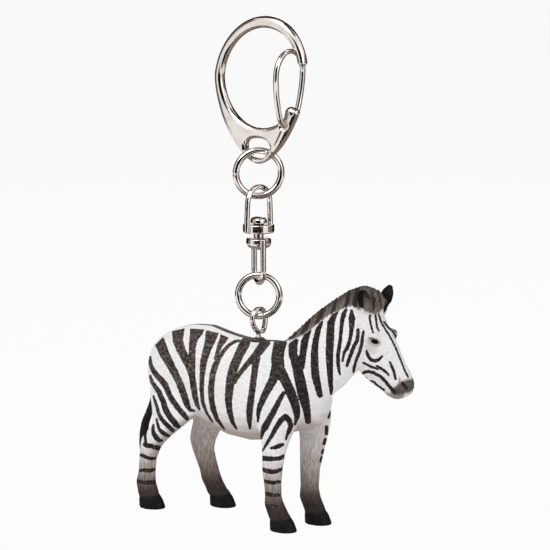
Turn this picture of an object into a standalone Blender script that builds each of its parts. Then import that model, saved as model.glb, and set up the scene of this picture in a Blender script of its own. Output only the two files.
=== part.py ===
# Zebra key charm: a moulded zebra figure that hangs from a snap hook by two jump rings and a swivel
# +X is the way the zebra walks, +Y is its left side and +Z is up
# The origin is where the hook's bow hangs on what holds it
import math

import bmesh
import bpy
from mathutils import Matrix, Vector

for old in list(bpy.data.objects):
    bpy.data.objects.remove(old, do_unlink=True)

mm = 0.001
X, Y, Z = Vector((1, 0, 0)), Vector((0, 1, 0)), Vector((0, 0, 1))

# Running clearances and cuts
seat_gap = 0.2 * mm
hook_ride = 0.55 * mm
bow_ride = 0.45 * mm
eye_ride = 0.1 * mm
swivel_gap = 0.15 * mm
cut_overrun = 1.0 * mm

# Snap hook
hook_thickness = 2.3 * mm
bow_half_width = 9.8 * mm
bow_half_height = 10.6 * mm
bow_bar = 1.8 * mm
bow_top_bar = 2.3 * mm
bow_centre_x = 0.7 * mm
hook_tip_drop = 18.4 * mm
nose_drop = 6.4 * mm
horn_height = 5.2 * mm
horn_bar = 2.0 * mm
horn_root_width = 4.2 * mm
ring_hole_width = 5.9 * mm
ring_hole_height = 4.1 * mm
ring_hole_rise = 1.4 * mm
ring_hole_x = 0.15 * mm
hook_edge_radius = 0.6 * mm
bow_skew_share = 0.12
hole_power_share = 0.78
egg_power_shares = (1.6, 0.6)

# Gate wire
gate_wire_diameter = 1.2 * mm
gate_foot_x = 7.5 * mm
gate_foot_drop = 9.6 * mm
gate_foot_depth = 0.75 * mm
gate_loop_width = 9.8 * mm
gate_lean = 0.5 * mm
gate_lap = 1.9 * mm
gate_rest_gap = 0.36 * mm
gate_side_gap = 0.3 * mm

# Jump rings
ring_wire_diameter = 1.45 * mm
upper_ring_diameter = 11.2 * mm
lower_ring_diameter = 10.4 * mm
ring_split = 0.12 * mm

# Swivel
bow_wire_diameter = 1.2 * mm
bow_leg_radius = 3.8 * mm
bow_top_radius = 3.5 * mm
bow_height = 10.4 * mm
collar_diameter = 6.8 * mm
collar_thickness = 1.85 * mm
neck_diameter = 2.1 * mm
neck_show = 1.1 * mm
rivet_diameter = 3.6 * mm
rivet_height = 1.5 * mm
flange_diameter = 5.4 * mm
flange_thickness = 1.75 * mm
flange_edge_radius = 0.5 * mm
collar_edge_radius = 0.25 * mm
eye_wire_diameter = 1.25 * mm
eye_leg_radius = 2.6 * mm
eye_height = 10.35 * mm

# Screw eye
screw_wire_diameter = 1.1 * mm
screw_loop_diameter = 5.4 * mm
screw_shank_length = 5.0 * mm
screw_stem = 1.45 * mm
screw_side_step = 0.95 * mm
loop_start = math.radians(-70)
loop_end = math.radians(255)
boss_diameter = 2.6 * mm
boss_height = 0.45 * mm

# Yaws about the chain's line
upper_ring_yaw = math.radians(45)
swivel_bow_yaw = math.radians(83)
swivel_eye_yaw = math.radians(-33)
lower_ring_yaw = math.radians(26)
screw_eye_yaw = math.radians(86)

# Zebra
back_height = 39.8 * mm
trunk_length = 46.6 * mm
trunk_depth = 21.0 * mm
trunk_width = 14.6 * mm
rump_overhang = 28.6 * mm
neck_depth = 14.8 * mm
neck_width = 9.0 * mm
head_length = 20.0 * mm
head_depth = 9.2 * mm
head_width = 6.6 * mm
mane_width = 2.4 * mm
mane_depth = 4.4 * mm
ear_length = 5.1 * mm
ear_width = 3.9 * mm
ear_depth = 1.3 * mm
eye_diameter = 2.6 * mm
tail_width = 2.6 * mm
leg_depth = 4.4 * mm
leg_width = 3.6 * mm
front_stance = 9.4 * mm
hind_stance = 10.0 * mm
hoof_length = 6.2 * mm
hoof_width = 5.0 * mm
hoof_height = 3.3 * mm
head_angle = math.radians(-58.5)
head_turn = math.radians(-10)
skin_grid = 0.55 * mm

round_steps = 36
wire_sides = 10
limb_sides = 20
trunk_sides = 28
skin_passes = 6
skin_keep_share = 0.135


def material(name, colour, roughness, metallic):
    made = bpy.data.materials.new(name)
    made.use_nodes = True
    shader = made.node_tree.nodes["Principled BSDF"]
    shader.inputs["Base Color"].default_value = (*colour, 1)
    shader.inputs["Roughness"].default_value = roughness
    shader.inputs["Metallic"].default_value = metallic
    made.diffuse_color = (*colour, 1)
    return made


nickel = material("nickel plate", (0.72, 0.70, 0.67), 0.18, 1.0)
wire_nickel = material("nickel wire", (0.70, 0.68, 0.66), 0.2, 1.0)
vinyl = material("painted vinyl", (0.78, 0.77, 0.76), 0.6, 0.0)


# A piece that swings has its origin pivot_rise above its drawing's zero, on its joint's axis
def solid(name, shape, look, location=(0, 0, 0), yaw=0.0, pivot_rise=0.0, smooth_angle=40):
    bmesh.ops.recalc_face_normals(shape, faces=shape.faces)
    bmesh.ops.translate(shape, verts=shape.verts, vec=Z * -pivot_rise)
    mesh = bpy.data.meshes.new(name)
    shape.to_mesh(mesh)
    shape.free()
    mesh.materials.append(look)
    mesh.shade_smooth()
    mesh.set_sharp_from_angle(angle=math.radians(smooth_angle))
    made = bpy.data.objects.new(name, mesh)
    made.location = Vector(location) + Z * pivot_rise
    made.rotation_euler = (0, 0, yaw)
    bpy.context.collection.objects.link(made)
    return made


def helper(name, shape, look, location=(0, 0, 0), yaw=0.0):
    made = solid(name, shape, look, location, yaw)
    made.hide_render = True
    made.display_type = "WIRE"
    return made


def boolean(target, other, operation):
    step = target.modifiers.new(other.name, "BOOLEAN")
    step.object = other
    step.operation = operation
    step.solver = "EXACT"


def hang(child, parent):
    bpy.context.view_layer.update()
    child.parent = parent
    child.matrix_parent_inverse = parent.matrix_world.inverted()


# Joins closed sections into one capped shell
def loft(shape, sections):
    rings = [[shape.verts.new(point) for point in section] for section in sections]
    for low, high in zip(rings, rings[1:]):
        for i in range(len(low)):
            j = (i + 1) % len(low)
            shape.faces.new((low[i], low[j], high[j], high[i]))
    shape.faces.new(rings[0][::-1])
    shape.faces.new(rings[-1])
    return shape


def ellipse(centre, across, up, half_across, half_up, sides):
    turns = [math.tau * i / sides for i in range(sides)]
    return [centre + across * (half_across * math.cos(a)) + up * (half_up * math.sin(a)) for a in turns]


# Sweeps a round wire along points, with frames carried along so that it never twists
def sweep(shape, points, radius, sides=wire_sides):
    points = [Vector(point) for point in points]
    sections = []
    across = None
    for i, point in enumerate(points):
        ahead = points[min(i + 1, len(points) - 1)] - points[max(i - 1, 0)]
        ahead.normalize()
        if across is None:
            across = ahead.orthogonal().normalized()
        across = (across - ahead * across.dot(ahead)).normalized()
        sections.append(ellipse(point, across, ahead.cross(across), radius, radius, sides))
    return loft(shape, sections)


# Turns a profile of (radius, height) pairs, which starts and ends on the axis, about the Z axis
def turned(shape, profile, steps=round_steps):
    rings = []
    for radius, height in profile:
        if radius == 0:
            rings.append([shape.verts.new((0, 0, height))])
            continue
        turns = [math.tau * i / steps for i in range(steps)]
        rings.append([shape.verts.new((radius * math.cos(a), radius * math.sin(a), height)) for a in turns])
    for low, high in zip(rings, rings[1:]):
        for i in range(steps):
            j = (i + 1) % steps
            face = [low[i % len(low)], low[j % len(low)], high[j % len(high)], high[i % len(high)]]
            shape.faces.new(list(dict.fromkeys(face)))
    return shape


def arc(centre, radius, start, end, steps):
    turns = [math.radians(start + (end - start) * i / steps) for i in range(steps + 1)]
    return [(centre[0] + radius * math.cos(a), centre[1] + radius * math.sin(a)) for a in turns]


# Snap hook: an egg-shaped bow, drawn as (x, z) in the plate's plane
bow_centre_z = -bow_half_height
hook_tip_z = bow_centre_z - hook_tip_drop
outer_half_width = bow_half_width + bow_bar
outer_half_height = bow_half_height + bow_top_bar


def skewed(x, z):
    return (x + bow_skew_share * max(z - bow_centre_z, 0), z)


def outer_point(degrees):
    a = math.radians(degrees)
    if math.sin(a) >= 0:
        x = bow_centre_x + outer_half_width * math.cos(a)
        return skewed(x, bow_centre_z + outer_half_height * math.sin(a))
    drop = -math.sin(a)
    power, root = egg_power_shares
    half = outer_half_width * max(1 - drop**power, 0) ** root
    x = bow_centre_x * (1 - drop) ** 2 + math.copysign(half, math.cos(a))
    return (x, bow_centre_z - hook_tip_drop * drop)


def inner_point(degrees):
    a = math.radians(degrees)
    x = bow_centre_x + bow_half_width * math.cos(a)
    return skewed(x, bow_centre_z + bow_half_height * math.sin(a))


def rounded_end(start, end, steps=6):
    middle = (Vector(start) + Vector(end)) / 2
    arm = Vector(start) - middle
    turns = [math.pi * i / steps for i in range(1, steps)]
    return [tuple(middle + Matrix.Rotation(-a, 2) @ arm) for a in turns]


gate_foot_z = bow_centre_z - gate_foot_drop
nose_angle = math.degrees(math.asin((bow_half_height - nose_drop) / outer_half_height))
horn_top_z = gate_foot_z + horn_height - horn_bar
horn_drop_share = (bow_centre_z - horn_top_z) / hook_tip_drop
horn_angle = -math.degrees(math.asin(horn_drop_share))
horn_root_x = gate_foot_x - horn_root_width / 2
inner_horn_angle = -math.degrees(math.acos((horn_root_x - bow_centre_x) / bow_half_width))


def hook_outline():
    over = [outer_point(nose_angle + (180 - nose_angle) * i / 22) for i in range(23)]
    left = [outer_point(180 + 90 * i / 14) for i in range(1, 14)]
    tip = [outer_point(270)]
    right = [outer_point(270 + (90 + horn_angle) * i / 12) for i in range(1, 13)]
    horn_outer = right[-1]
    horn_inner = (horn_outer[0] - horn_bar, horn_outer[1])
    horn = rounded_end(horn_inner, horn_outer)[::-1]
    inner_start = 360 + inner_horn_angle
    inner = [inner_point(inner_start + (nose_angle - inner_start) * i / 34) for i in range(35)]
    nose = rounded_end(over[0], inner[-1])[::-1]
    return over + left + tip + right + horn + [horn_inner] + inner + nose


def plate(outline, thickness):
    shape = bmesh.new()
    sides = [[(x, y, z) for x, z in outline] for y in (-thickness / 2, thickness / 2)]
    return loft(shape, sides)


ring_hole_z = hook_tip_z + ring_hole_rise + ring_hole_height / 2
hook_frame = solid("hook_frame", plate(hook_outline(), hook_thickness), nickel)


def squared(share):
    return math.copysign(abs(share) ** hole_power_share, share)


def hole_point(degrees):
    a = math.radians(degrees)
    x = ring_hole_x + ring_hole_width / 2 * squared(math.cos(a))
    return (x, ring_hole_z + ring_hole_height / 2 * squared(math.sin(a)))


hole_outline = [hole_point(360 * i / 28) for i in range(28)]
hole_cutter = helper("ring hole", plate(hole_outline, hook_thickness + 2 * cut_overrun), nickel)
boolean(hook_frame, hole_cutter, "DIFFERENCE")
edge = hook_frame.modifiers.new("rounded edges", "BEVEL")
edge.width = hook_edge_radius
edge.segments = 3
edge.limit_method = "ANGLE"
edge.angle_limit = math.radians(50)
foot_hole = bmesh.new()
foot_hole_reach = hook_thickness / 2 + cut_overrun
foot_hole_ends = [(gate_foot_x, reach, gate_foot_z) for reach in (-foot_hole_reach, foot_hole_reach)]
sweep(foot_hole, foot_hole_ends, gate_wire_diameter / 2 + seat_gap, 16)
boolean(hook_frame, helper("foot hole", foot_hole, nickel), "DIFFERENCE")

# Gate: a flat teardrop loop whose feet turn in the horn from both sides
gate_leg_y = hook_thickness / 2 + gate_side_gap + gate_wire_diameter / 2
gate_top_z = gate_lap - nose_drop
gate_top_angle = math.degrees(math.asin((gate_top_z - bow_centre_z) / bow_half_height))
gate_top = Vector(inner_point(gate_top_angle)) - Vector((gate_wire_diameter / 2 + gate_rest_gap, 0))
gate_rise = X * (gate_top[0] - gate_foot_x) + Z * (gate_top[1] - gate_foot_z)


def gate_path():
    half = gate_loop_width / 2
    straight = gate_rise.length - half
    along = gate_rise.normalized()
    turn = gate_wire_diameter * 0.6
    leg_turns = [math.pi / 2 * i / 8 for i in range(1, 9)]
    arch_turns = [math.pi / 2 * i / 7 for i in range(1, 8)]
    spread = half - gate_leg_y
    side = [(hook_thickness / 2 - gate_foot_depth, 0), (gate_leg_y - turn, 0)]
    side += [(gate_leg_y - turn * 0.3, turn * 0.3)]
    side += [(gate_leg_y + spread * math.sin(a) ** 0.8, straight * a / (math.pi / 2)) for a in leg_turns]
    side += [(half * math.cos(a), straight + half * math.sin(a)) for a in arch_turns]
    near = [along * rise - Y * (y + gate_lean * rise / gate_rise.length) for y, rise in side]
    far = [along * rise + Y * (y - gate_lean * rise / gate_rise.length) for y, rise in side]
    return near + far[-2::-1]


gate_shape = bmesh.new()
sweep(gate_shape, gate_path(), gate_wire_diameter / 2)
gate_wire = solid("gate_wire", gate_shape, wire_nickel, (gate_foot_x, 0, gate_foot_z))
hang(gate_wire, hook_frame)


# A jump ring is drawn from the middle of its wire at the top, and swings about what it hangs on
def jump_ring(name, diameter, top_z, pivot_z, yaw, split_degrees):
    radius = (diameter - ring_wire_diameter) / 2
    half_split = math.degrees(ring_split / 2 / radius)
    start = split_degrees + half_split
    end = split_degrees + 360 - half_split
    turns = arc((0, -radius), radius, start, end, round_steps)
    shape = bmesh.new()
    sweep(shape, [(x, 0, z) for x, z in turns], ring_wire_diameter / 2)
    return solid(name, shape, wire_nickel, Z * top_z, yaw, pivot_z - top_z)


upper_ring_z = hook_tip_z + ring_hole_rise + hook_ride + seat_gap + ring_wire_diameter / 2
upper_pivot_z = hook_tip_z + ring_hole_rise / 2
upper_ring = jump_ring("upper_ring", upper_ring_diameter, upper_ring_z, upper_pivot_z, upper_ring_yaw, 180)
hang(upper_ring, hook_frame)
upper_ring_foot_z = upper_ring_z - (upper_ring_diameter - ring_wire_diameter)

# Swivel bow: a cast stirrup, its collar bored for the neck, drawn from the middle of its wire at the top
bow_top_z = upper_ring_foot_z + ring_wire_diameter / 2 + bow_ride + seat_gap + bow_wire_diameter / 2
collar_base = -(bow_height - bow_wire_diameter / 2)
collar_top = collar_base + collar_thickness


def stirrup(top_radius, leg_radius, leg_end):
    top = arc((0, -top_radius), top_radius, 180, 0, 16)
    shoulder = Vector((-top_radius, -top_radius))
    foot = Vector((-leg_radius, leg_end))
    left = [tuple(foot), tuple(foot.lerp(shoulder, 0.5))]
    right = [(-x, z) for x, z in left[::-1]]
    return [(x, 0, z) for x, z in left + top + right]


def bevelled_disc(radius, low, high, edge_radius, steps=3):
    core = radius - edge_radius
    turns = [math.pi / 2 * i / steps for i in range(steps + 1)]
    lower = [(core + edge_radius * math.sin(a), low + edge_radius * (1 - math.cos(a))) for a in turns]
    upper = [(r, high - (z - low)) for r, z in lower[::-1]]
    return [(0, low)] + lower + upper + [(0, high)]


bow_shape = bmesh.new()
bow_points = stirrup(bow_top_radius, bow_leg_radius, collar_base + collar_edge_radius)
sweep(bow_shape, bow_points, bow_wire_diameter / 2)
bow_pivot_rise = upper_ring_foot_z - bow_top_z
swivel_bow = solid("swivel_bow", bow_shape, nickel, Z * bow_top_z, swivel_bow_yaw, bow_pivot_rise)
collar_profile = bevelled_disc(collar_diameter / 2, collar_base, collar_top, collar_edge_radius)
collar_shape = turned(bmesh.new(), collar_profile)
collar = helper("collar", collar_shape, nickel, (0, 0, bow_top_z), swivel_bow_yaw)
boolean(swivel_bow, collar, "UNION")
bore_radius = neck_diameter / 2 + swivel_gap
bore_low = collar_base - cut_overrun
bore_high = collar_top + cut_overrun
bore_profile = [(0, bore_low), (bore_radius, bore_low), (bore_radius, bore_high), (0, bore_high)]
bore_shape = turned(bmesh.new(), bore_profile, 28)
bore = helper("collar bore", bore_shape, nickel, (0, 0, bow_top_z), swivel_bow_yaw)
boolean(swivel_bow, bore, "DIFFERENCE")
hang(swivel_bow, upper_ring)

# Swivel eye: peened head, neck and flange turned in one profile, and the long eye under it
eye_origin_z = bow_top_z + collar_top
rivet_base = seat_gap
flange_top = -collar_thickness - neck_show
flange_base = flange_top - flange_thickness
eye_foot = flange_top - eye_height


def spindle_profile():
    radius = rivet_diameter / 2
    edge_z = rivet_base + rivet_height * 0.35
    turns = [math.pi / 2 * i / 4 for i in range(5)]
    crown = [(radius * math.cos(a), edge_z + rivet_height * 0.65 * math.sin(a)) for a in turns]
    disc = bevelled_disc(flange_diameter / 2, flange_base, flange_top, flange_edge_radius)[:-1]
    neck = [(neck_diameter / 2, flange_top), (neck_diameter / 2, rivet_base)]
    return disc + neck + [(radius, rivet_base)] + crown[:-1] + [(0, crown[-1][1])]


eye_shape = turned(bmesh.new(), spindle_profile(), 28)
swivel_eye = solid("swivel_eye", eye_shape, nickel, (0, 0, eye_origin_z), swivel_eye_yaw)
loop_shape = bmesh.new()
loop_points = stirrup(eye_leg_radius, eye_leg_radius, -(eye_height - eye_wire_diameter))
loop_foot_z = eye_foot + eye_wire_diameter / 2
sweep(loop_shape, [(x, 0, loop_foot_z - z) for x, _, z in loop_points], eye_wire_diameter / 2)
eye_loop = helper("long eye", loop_shape, nickel, (0, 0, eye_origin_z), swivel_eye_yaw)
boolean(swivel_eye, eye_loop, "UNION")
hang(swivel_eye, swivel_bow)

# Lower ring
lower_ring_z = eye_origin_z + eye_foot + eye_wire_diameter + seat_gap + ring_wire_diameter / 2
lower_pivot_z = eye_origin_z + eye_foot + eye_wire_diameter / 2
lower_ring = jump_ring("lower_ring", lower_ring_diameter, lower_ring_z, lower_pivot_z, lower_ring_yaw, -75)
hang(lower_ring, swivel_eye)
lower_ring_foot_z = lower_ring_z - (lower_ring_diameter - ring_wire_diameter)

# Screw eye: the wire leaves its shank in a bend, runs round the loop, and its cut end stops beside the bend
screw_top_z = lower_ring_foot_z + ring_wire_diameter / 2 + eye_ride + seat_gap + screw_wire_diameter / 2
screw_radius = (screw_loop_diameter - screw_wire_diameter) / 2
bend_radius = screw_radius * math.cos(loop_start) / (1 - math.cos(-loop_start))
bend_drop = screw_radius - screw_radius * math.sin(loop_start) + bend_radius * math.sin(-loop_start)
saddle_drop = bend_drop + screw_stem
saddle_z = screw_top_z - saddle_drop


def pigtail():
    steps = round_steps
    points = []
    for i in range(steps + 1):
        share = 1 - i / steps
        a = loop_start + (loop_end - loop_start) * share
        aside = screw_side_step * max(share - 0.75, 0) * 4
        points.append((screw_radius * math.cos(a), aside, -screw_radius + screw_radius * math.sin(a)))
    turns = [-loop_start * (1 - i / 6) for i in range(1, 7)]
    points += [(bend_radius * (1 - math.cos(a)), 0, bend_radius * math.sin(a) - bend_drop) for a in turns]
    return points + [(0, 0, -saddle_drop), (0, 0, -saddle_drop - screw_shank_length)]


screw_shape = bmesh.new()
sweep(screw_shape, pigtail(), screw_wire_diameter / 2)
screw_pivot_rise = lower_ring_foot_z - screw_top_z
screw_eye = solid("screw_eye", screw_shape, wire_nickel, Z * screw_top_z, screw_eye_yaw, screw_pivot_rise)
hang(screw_eye, lower_ring)

# Zebra: its own axes start at the saddle, where the screw enters, and heights run up from the soles
sole = -back_height
rump_x = -rump_overhang
chest_x = rump_x + trunk_length

# Along the trunk: place from the rump, height of the back line in back heights, half depth, half width
trunk_shares = (
    (0.004, 0.821, 0.105, 0.110),
    (0.017, 0.877, 0.205, 0.212),
    (0.041, 0.924, 0.300, 0.315),
    (0.086, 0.970, 0.381, 0.404),
    (0.152, 1.008, 0.443, 0.466),
    (0.249, 1.040, 0.495, 0.493),
    (0.352, 1.048, 0.529, 0.493),
    (0.464, 1.018, 0.538, 0.500),
    (0.592, 0.998, 0.529, 0.507),
    (0.710, 1.010, 0.517, 0.486),
    (0.818, 1.008, 0.462, 0.445),
    (0.903, 0.960, 0.390, 0.370),
    (0.961, 0.880, 0.286, 0.274),
    (1.000, 0.771, 0.105, 0.123),
)

# Along the neck: forward of the chest's end and up from the saddle in back heights, half depth, half width
neck_shares = (
    (-0.302, -0.230, 0.600, 0.620),
    (-0.138, -0.133, 0.520, 0.560),
    (-0.024, -0.054, 0.495, 0.480),
    (0.052, 0.018, 0.475, 0.425),
    (0.121, 0.073, 0.450, 0.380),
    (0.188, 0.125, 0.425, 0.345),
    (0.243, 0.165, 0.340, 0.300),
)

# Along the head from the poll: place, middle line forward of the poll's, half depth, half width
head_shares = (
    (-0.075, 0.000, 0.120, 0.140),
    (0.000, -0.040, 0.240, 0.320),
    (0.150, -0.180, 0.420, 0.450),
    (0.325, -0.370, 0.630, 0.500),
    (0.500, -0.365, 0.655, 0.490),
    (0.625, -0.275, 0.585, 0.430),
    (0.750, -0.170, 0.480, 0.370),
    (0.865, -0.090, 0.430, 0.380),
    (0.950, -0.055, 0.360, 0.330),
    (1.010, -0.065, 0.210, 0.200),
)
poll_shares = (0.264, 0.254)

# Along the mane from the withers to the forelock, placed as the neck is: half depth, half width
mane_shares = (
    (-0.262, 0.000, 0.200, 0.300),
    (-0.152, 0.075, 0.360, 0.420),
    (-0.050, 0.153, 0.440, 0.470),
    (0.051, 0.223, 0.460, 0.500),
    (0.151, 0.287, 0.470, 0.500),
    (0.234, 0.315, 0.530, 0.520),
    (0.293, 0.299, 0.540, 0.560),
    (0.333, 0.254, 0.400, 0.480),
    (0.348, 0.219, 0.200, 0.260),
)

# Down the tail: forward of the rump's end and up from the soles in back heights, half depth, half width
tail_shares = (
    (0.051, 0.905, 0.269, 0.308),
    (0.031, 0.817, 0.365, 0.404),
    (0.015, 0.711, 0.365, 0.385),
    (0.005, 0.590, 0.365, 0.365),
    (-0.015, 0.525, 0.385, 0.404),
    (-0.040, 0.482, 0.462, 0.481),
    (-0.060, 0.435, 0.481, 0.500),
    (-0.072, 0.374, 0.481, 0.519),
    (-0.080, 0.314, 0.462, 0.462),
    (-0.085, 0.266, 0.327, 0.327),
    (-0.088, 0.244, 0.135, 0.135),
)

# Down each leg, in level sections: forward of its own end of the trunk and up from the soles in back
# heights, side place in half stances, half length fore and aft in leg depths, half width in leg widths
near_front_shares = (
    (-0.221, 0.829, 0.880, 0.955, 0.600),
    (-0.236, 0.701, 0.960, 1.136, 0.680),
    (-0.248, 0.580, 1.000, 1.045, 0.680),
    (-0.261, 0.490, 1.000, 0.795, 0.600),
    (-0.272, 0.410, 1.000, 0.625, 0.540),
    (-0.280, 0.329, 1.000, 0.557, 0.530),
    (-0.279, 0.259, 1.000, 0.477, 0.460),
    (-0.274, 0.181, 1.000, 0.443, 0.440),
    (-0.269, 0.138, 1.000, 0.534, 0.530),
    (-0.248, 0.101, 1.000, 0.568, 0.560),
    (-0.226, 0.050, 1.000, 0.591, 0.560),
)
far_front_shares = (
    (-0.201, 0.829, 0.880, 0.955, 0.600),
    (-0.191, 0.701, 0.960, 1.136, 0.680),
    (-0.176, 0.580, 1.000, 1.023, 0.680),
    (-0.172, 0.500, 1.000, 0.818, 0.620),
    (-0.181, 0.420, 1.000, 0.693, 0.580),
    (-0.188, 0.359, 1.000, 0.614, 0.560),
    (-0.196, 0.299, 1.000, 0.545, 0.520),
    (-0.199, 0.196, 1.000, 0.500, 0.470),
    (-0.196, 0.136, 1.000, 0.591, 0.540),
    (-0.176, 0.101, 1.000, 0.591, 0.560),
    (-0.153, 0.050, 1.000, 0.591, 0.560),
)
near_hind_shares = (
    (0.209, 0.799, 0.800, 1.182, 0.720),
    (0.222, 0.701, 0.840, 1.432, 0.760),
    (0.232, 0.628, 0.890, 1.477, 0.780),
    (0.232, 0.560, 0.930, 1.318, 0.760),
    (0.209, 0.510, 0.950, 1.045, 0.740),
    (0.171, 0.460, 0.970, 0.818, 0.700),
    (0.124, 0.417, 0.990, 0.773, 0.640),
    (0.093, 0.382, 1.000, 0.705, 0.600),
    (0.073, 0.339, 1.000, 0.568, 0.550),
    (0.053, 0.269, 1.000, 0.477, 0.480),
    (0.047, 0.188, 1.000, 0.477, 0.460),
    (0.038, 0.136, 1.000, 0.557, 0.540),
    (0.051, 0.101, 1.000, 0.568, 0.560),
    (0.063, 0.050, 1.000, 0.614, 0.560),
)
far_hind_shares = (
    (0.222, 0.799, 0.800, 1.182, 0.720),
    (0.252, 0.701, 0.840, 1.432, 0.760),
    (0.277, 0.628, 0.890, 1.432, 0.780),
    (0.302, 0.560, 0.930, 1.273, 0.760),
    (0.307, 0.510, 0.950, 1.045, 0.740),
    (0.292, 0.460, 0.970, 0.909, 0.700),
    (0.264, 0.410, 1.000, 0.818, 0.640),
    (0.247, 0.362, 1.000, 0.750, 0.600),
    (0.247, 0.312, 1.000, 0.636, 0.550),
    (0.267, 0.254, 1.000, 0.591, 0.520),
    (0.292, 0.191, 1.000, 0.557, 0.480),
    (0.309, 0.136, 1.000, 0.591, 0.540),
    (0.335, 0.101, 1.000, 0.591, 0.560),
    (0.360, 0.050, 1.000, 0.614, 0.560),
)

# Hooves: sole middles forward of their own end of the trunk in back heights, and the side they stand on
front_hoof_shares = ((-0.207, -1), (-0.141, 1))
hind_hoof_shares = ((0.083, -1), (0.385, 1))

# Up each hoof: height, shift of its middle in hoof lengths, length, width
hoof_shares = (
    (0.00, 0.00, 1.00, 1.00),
    (0.12, -0.01, 0.99, 0.99),
    (0.55, -0.07, 0.90, 0.92),
    (1.00, -0.16, 0.72, 0.80),
)

# Up each ear: height in ear lengths, width, back's bulge and depth of the hollow
ear_shares = (
    (-0.40, 0.40, 0.60, 0.42),
    (0.00, 0.60, 0.72, 0.36),
    (0.20, 0.80, 0.85, 0.20),
    (0.42, 1.00, 1.00, 0.05),
    (0.66, 0.92, 0.90, 0.05),
    (0.85, 0.62, 0.65, 0.10),
    (1.00, 0.22, 0.35, 0.25),
)
ear_root_share = (0.11, 0.41, -0.016)
ear_lean_share = (0.19, 0.31, 1.00)
ear_face_share = (0.14, 0.99, 0.00)
ear_sink_share = 0.6
eye_place_share = (0.33, 0.05, 0.44)
eye_form_share = (1.00, 0.65, 0.90)


def along(points):
    ways = []
    for i in range(len(points)):
        way = points[min(i + 1, len(points) - 1)] - points[max(i - 1, 0)]
        ways.append(way.normalized())
    return ways


# Lofts oval sections that stand square to their own spine
def limb(shape, spine, halves, side=Y, sides=limb_sides):
    sections = []
    for point, way, (half_depth, half_width) in zip(spine, along(spine), halves):
        up = side.cross(way).normalized()
        across = way.cross(up).normalized()
        sections.append(ellipse(point, across, up, half_width, half_depth, sides))
    loft(shape, sections)


# Lofts a leg from level oval sections
def leg(shape, shares, start_x, side, stance):
    sections = []
    for forward, height, aside, depth, width in shares:
        level = sole + height * back_height
        middle = Vector((start_x + forward * back_height, side * aside * stance / 2, level))
        sections.append(ellipse(middle, X, Y, depth * leg_depth, width * leg_width, limb_sides))
    loft(shape, sections)


poll = Vector((chest_x + poll_shares[0] * back_height, 0, poll_shares[1] * back_height))
turned_head = Matrix.Rotation(head_turn, 3, "Z")
head_way = turned_head @ Vector((math.cos(head_angle), 0, math.sin(head_angle)))
head_front = turned_head @ Vector((-math.sin(head_angle), 0, math.cos(head_angle)))
head_side = turned_head @ Y


def head_spot(along_share, out, side):
    return poll + head_way * (along_share * head_length) + head_front * out + head_side * side


def figure_shells():
    shape = bmesh.new()
    sections = []
    for place, back, depth, width in trunk_shares:
        half_depth = depth * trunk_depth
        middle = Vector((rump_x + place * trunk_length, 0, sole + back * back_height - half_depth))
        sections.append(ellipse(middle, Y, Z, width * trunk_width, half_depth, trunk_sides))
    loft(shape, sections)
    spine = [Vector((chest_x + x * back_height, 0, z * back_height)) for x, z, _, _ in neck_shares]
    limb(shape, spine, [(depth * neck_depth, width * neck_width) for _, _, depth, width in neck_shares])
    spine = [head_spot(s, out * head_depth, 0) for s, out, _, _ in head_shares]
    halves = [(depth * head_depth, width * head_width) for _, _, depth, width in head_shares]
    limb(shape, spine, halves, head_side)
    spine = [Vector((chest_x + x * back_height, 0, z * back_height)) for x, z, _, _ in mane_shares]
    limb(shape, spine, [(depth * mane_depth, width * mane_width) for _, _, depth, width in mane_shares])
    spine = [Vector((rump_x + x * back_height, 0, sole + z * back_height)) for x, z, _, _ in tail_shares]
    limb(shape, spine, [(depth * tail_width, width * tail_width) for _, _, depth, width in tail_shares])
    leg(shape, near_front_shares, chest_x, -1, front_stance)
    leg(shape, far_front_shares, chest_x, 1, front_stance)
    leg(shape, near_hind_shares, rump_x, -1, hind_stance)
    leg(shape, far_hind_shares, rump_x, 1, hind_stance)
    for side in (-1, 1):
        place, out, aside = eye_place_share
        spot = head_spot(place, out * head_depth, side * aside * head_width)
        form = Matrix.Rotation(head_turn, 4, "Z") @ Matrix.Diagonal((*eye_form_share, 1))
        matrix = Matrix.Translation(spot) @ form
        radius = eye_diameter / 2
        bmesh.ops.create_uvsphere(shape, u_segments=16, v_segments=10, radius=radius, matrix=matrix)
    return shape


def hoof(shape, forward, side, stance):
    sections = []
    for rise, shift, length, width in hoof_shares:
        middle = Vector((forward + shift * hoof_length, side * stance / 2, sole + rise * hoof_height))
        sections.append(ellipse(middle, X, Y, length * hoof_length / 2, width * hoof_width / 2, limb_sides))
    loft(shape, sections)


def mirrored(share, side):
    forward, aside, up = share
    return turned_head @ Vector((forward, side * aside, up))


# Each ear is a leaf with a bulged back and a hollow that faces out, and its root leans into the head
def ear(shape, side, steps=8):
    forward, aside, rise = ear_root_share
    place = Vector((forward * head_depth, side * aside * head_width, rise * head_length))
    root = poll + turned_head @ place
    up = mirrored(ear_lean_share, side).normalized()
    face = mirrored(ear_face_share, side)
    face = (face - up * face.dot(up)).normalized()
    across = up.cross(face)
    turns = [math.pi * i / steps for i in range(steps + 1)]
    sections = []
    for rise, width, back, hollow in ear_shares:
        sunk = side * ear_sink_share * min(rise, 0)
        middle = root + (up * rise + head_side * sunk) * ear_length
        half = across * (width * ear_width / 2)
        bulge = face * (back * ear_depth * 0.6)
        rim = face * (ear_depth * 0.22)
        dish = face * (ear_depth * (0.42 - hollow))
        outer = [middle + half * math.cos(a) - bulge * math.sin(a) for a in turns]
        inner = [middle - half * (0.8 * math.cos(a)) + rim - dish * math.sin(a) for a in turns]
        sections.append(outer + inner)
    loft(shape, sections)


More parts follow.
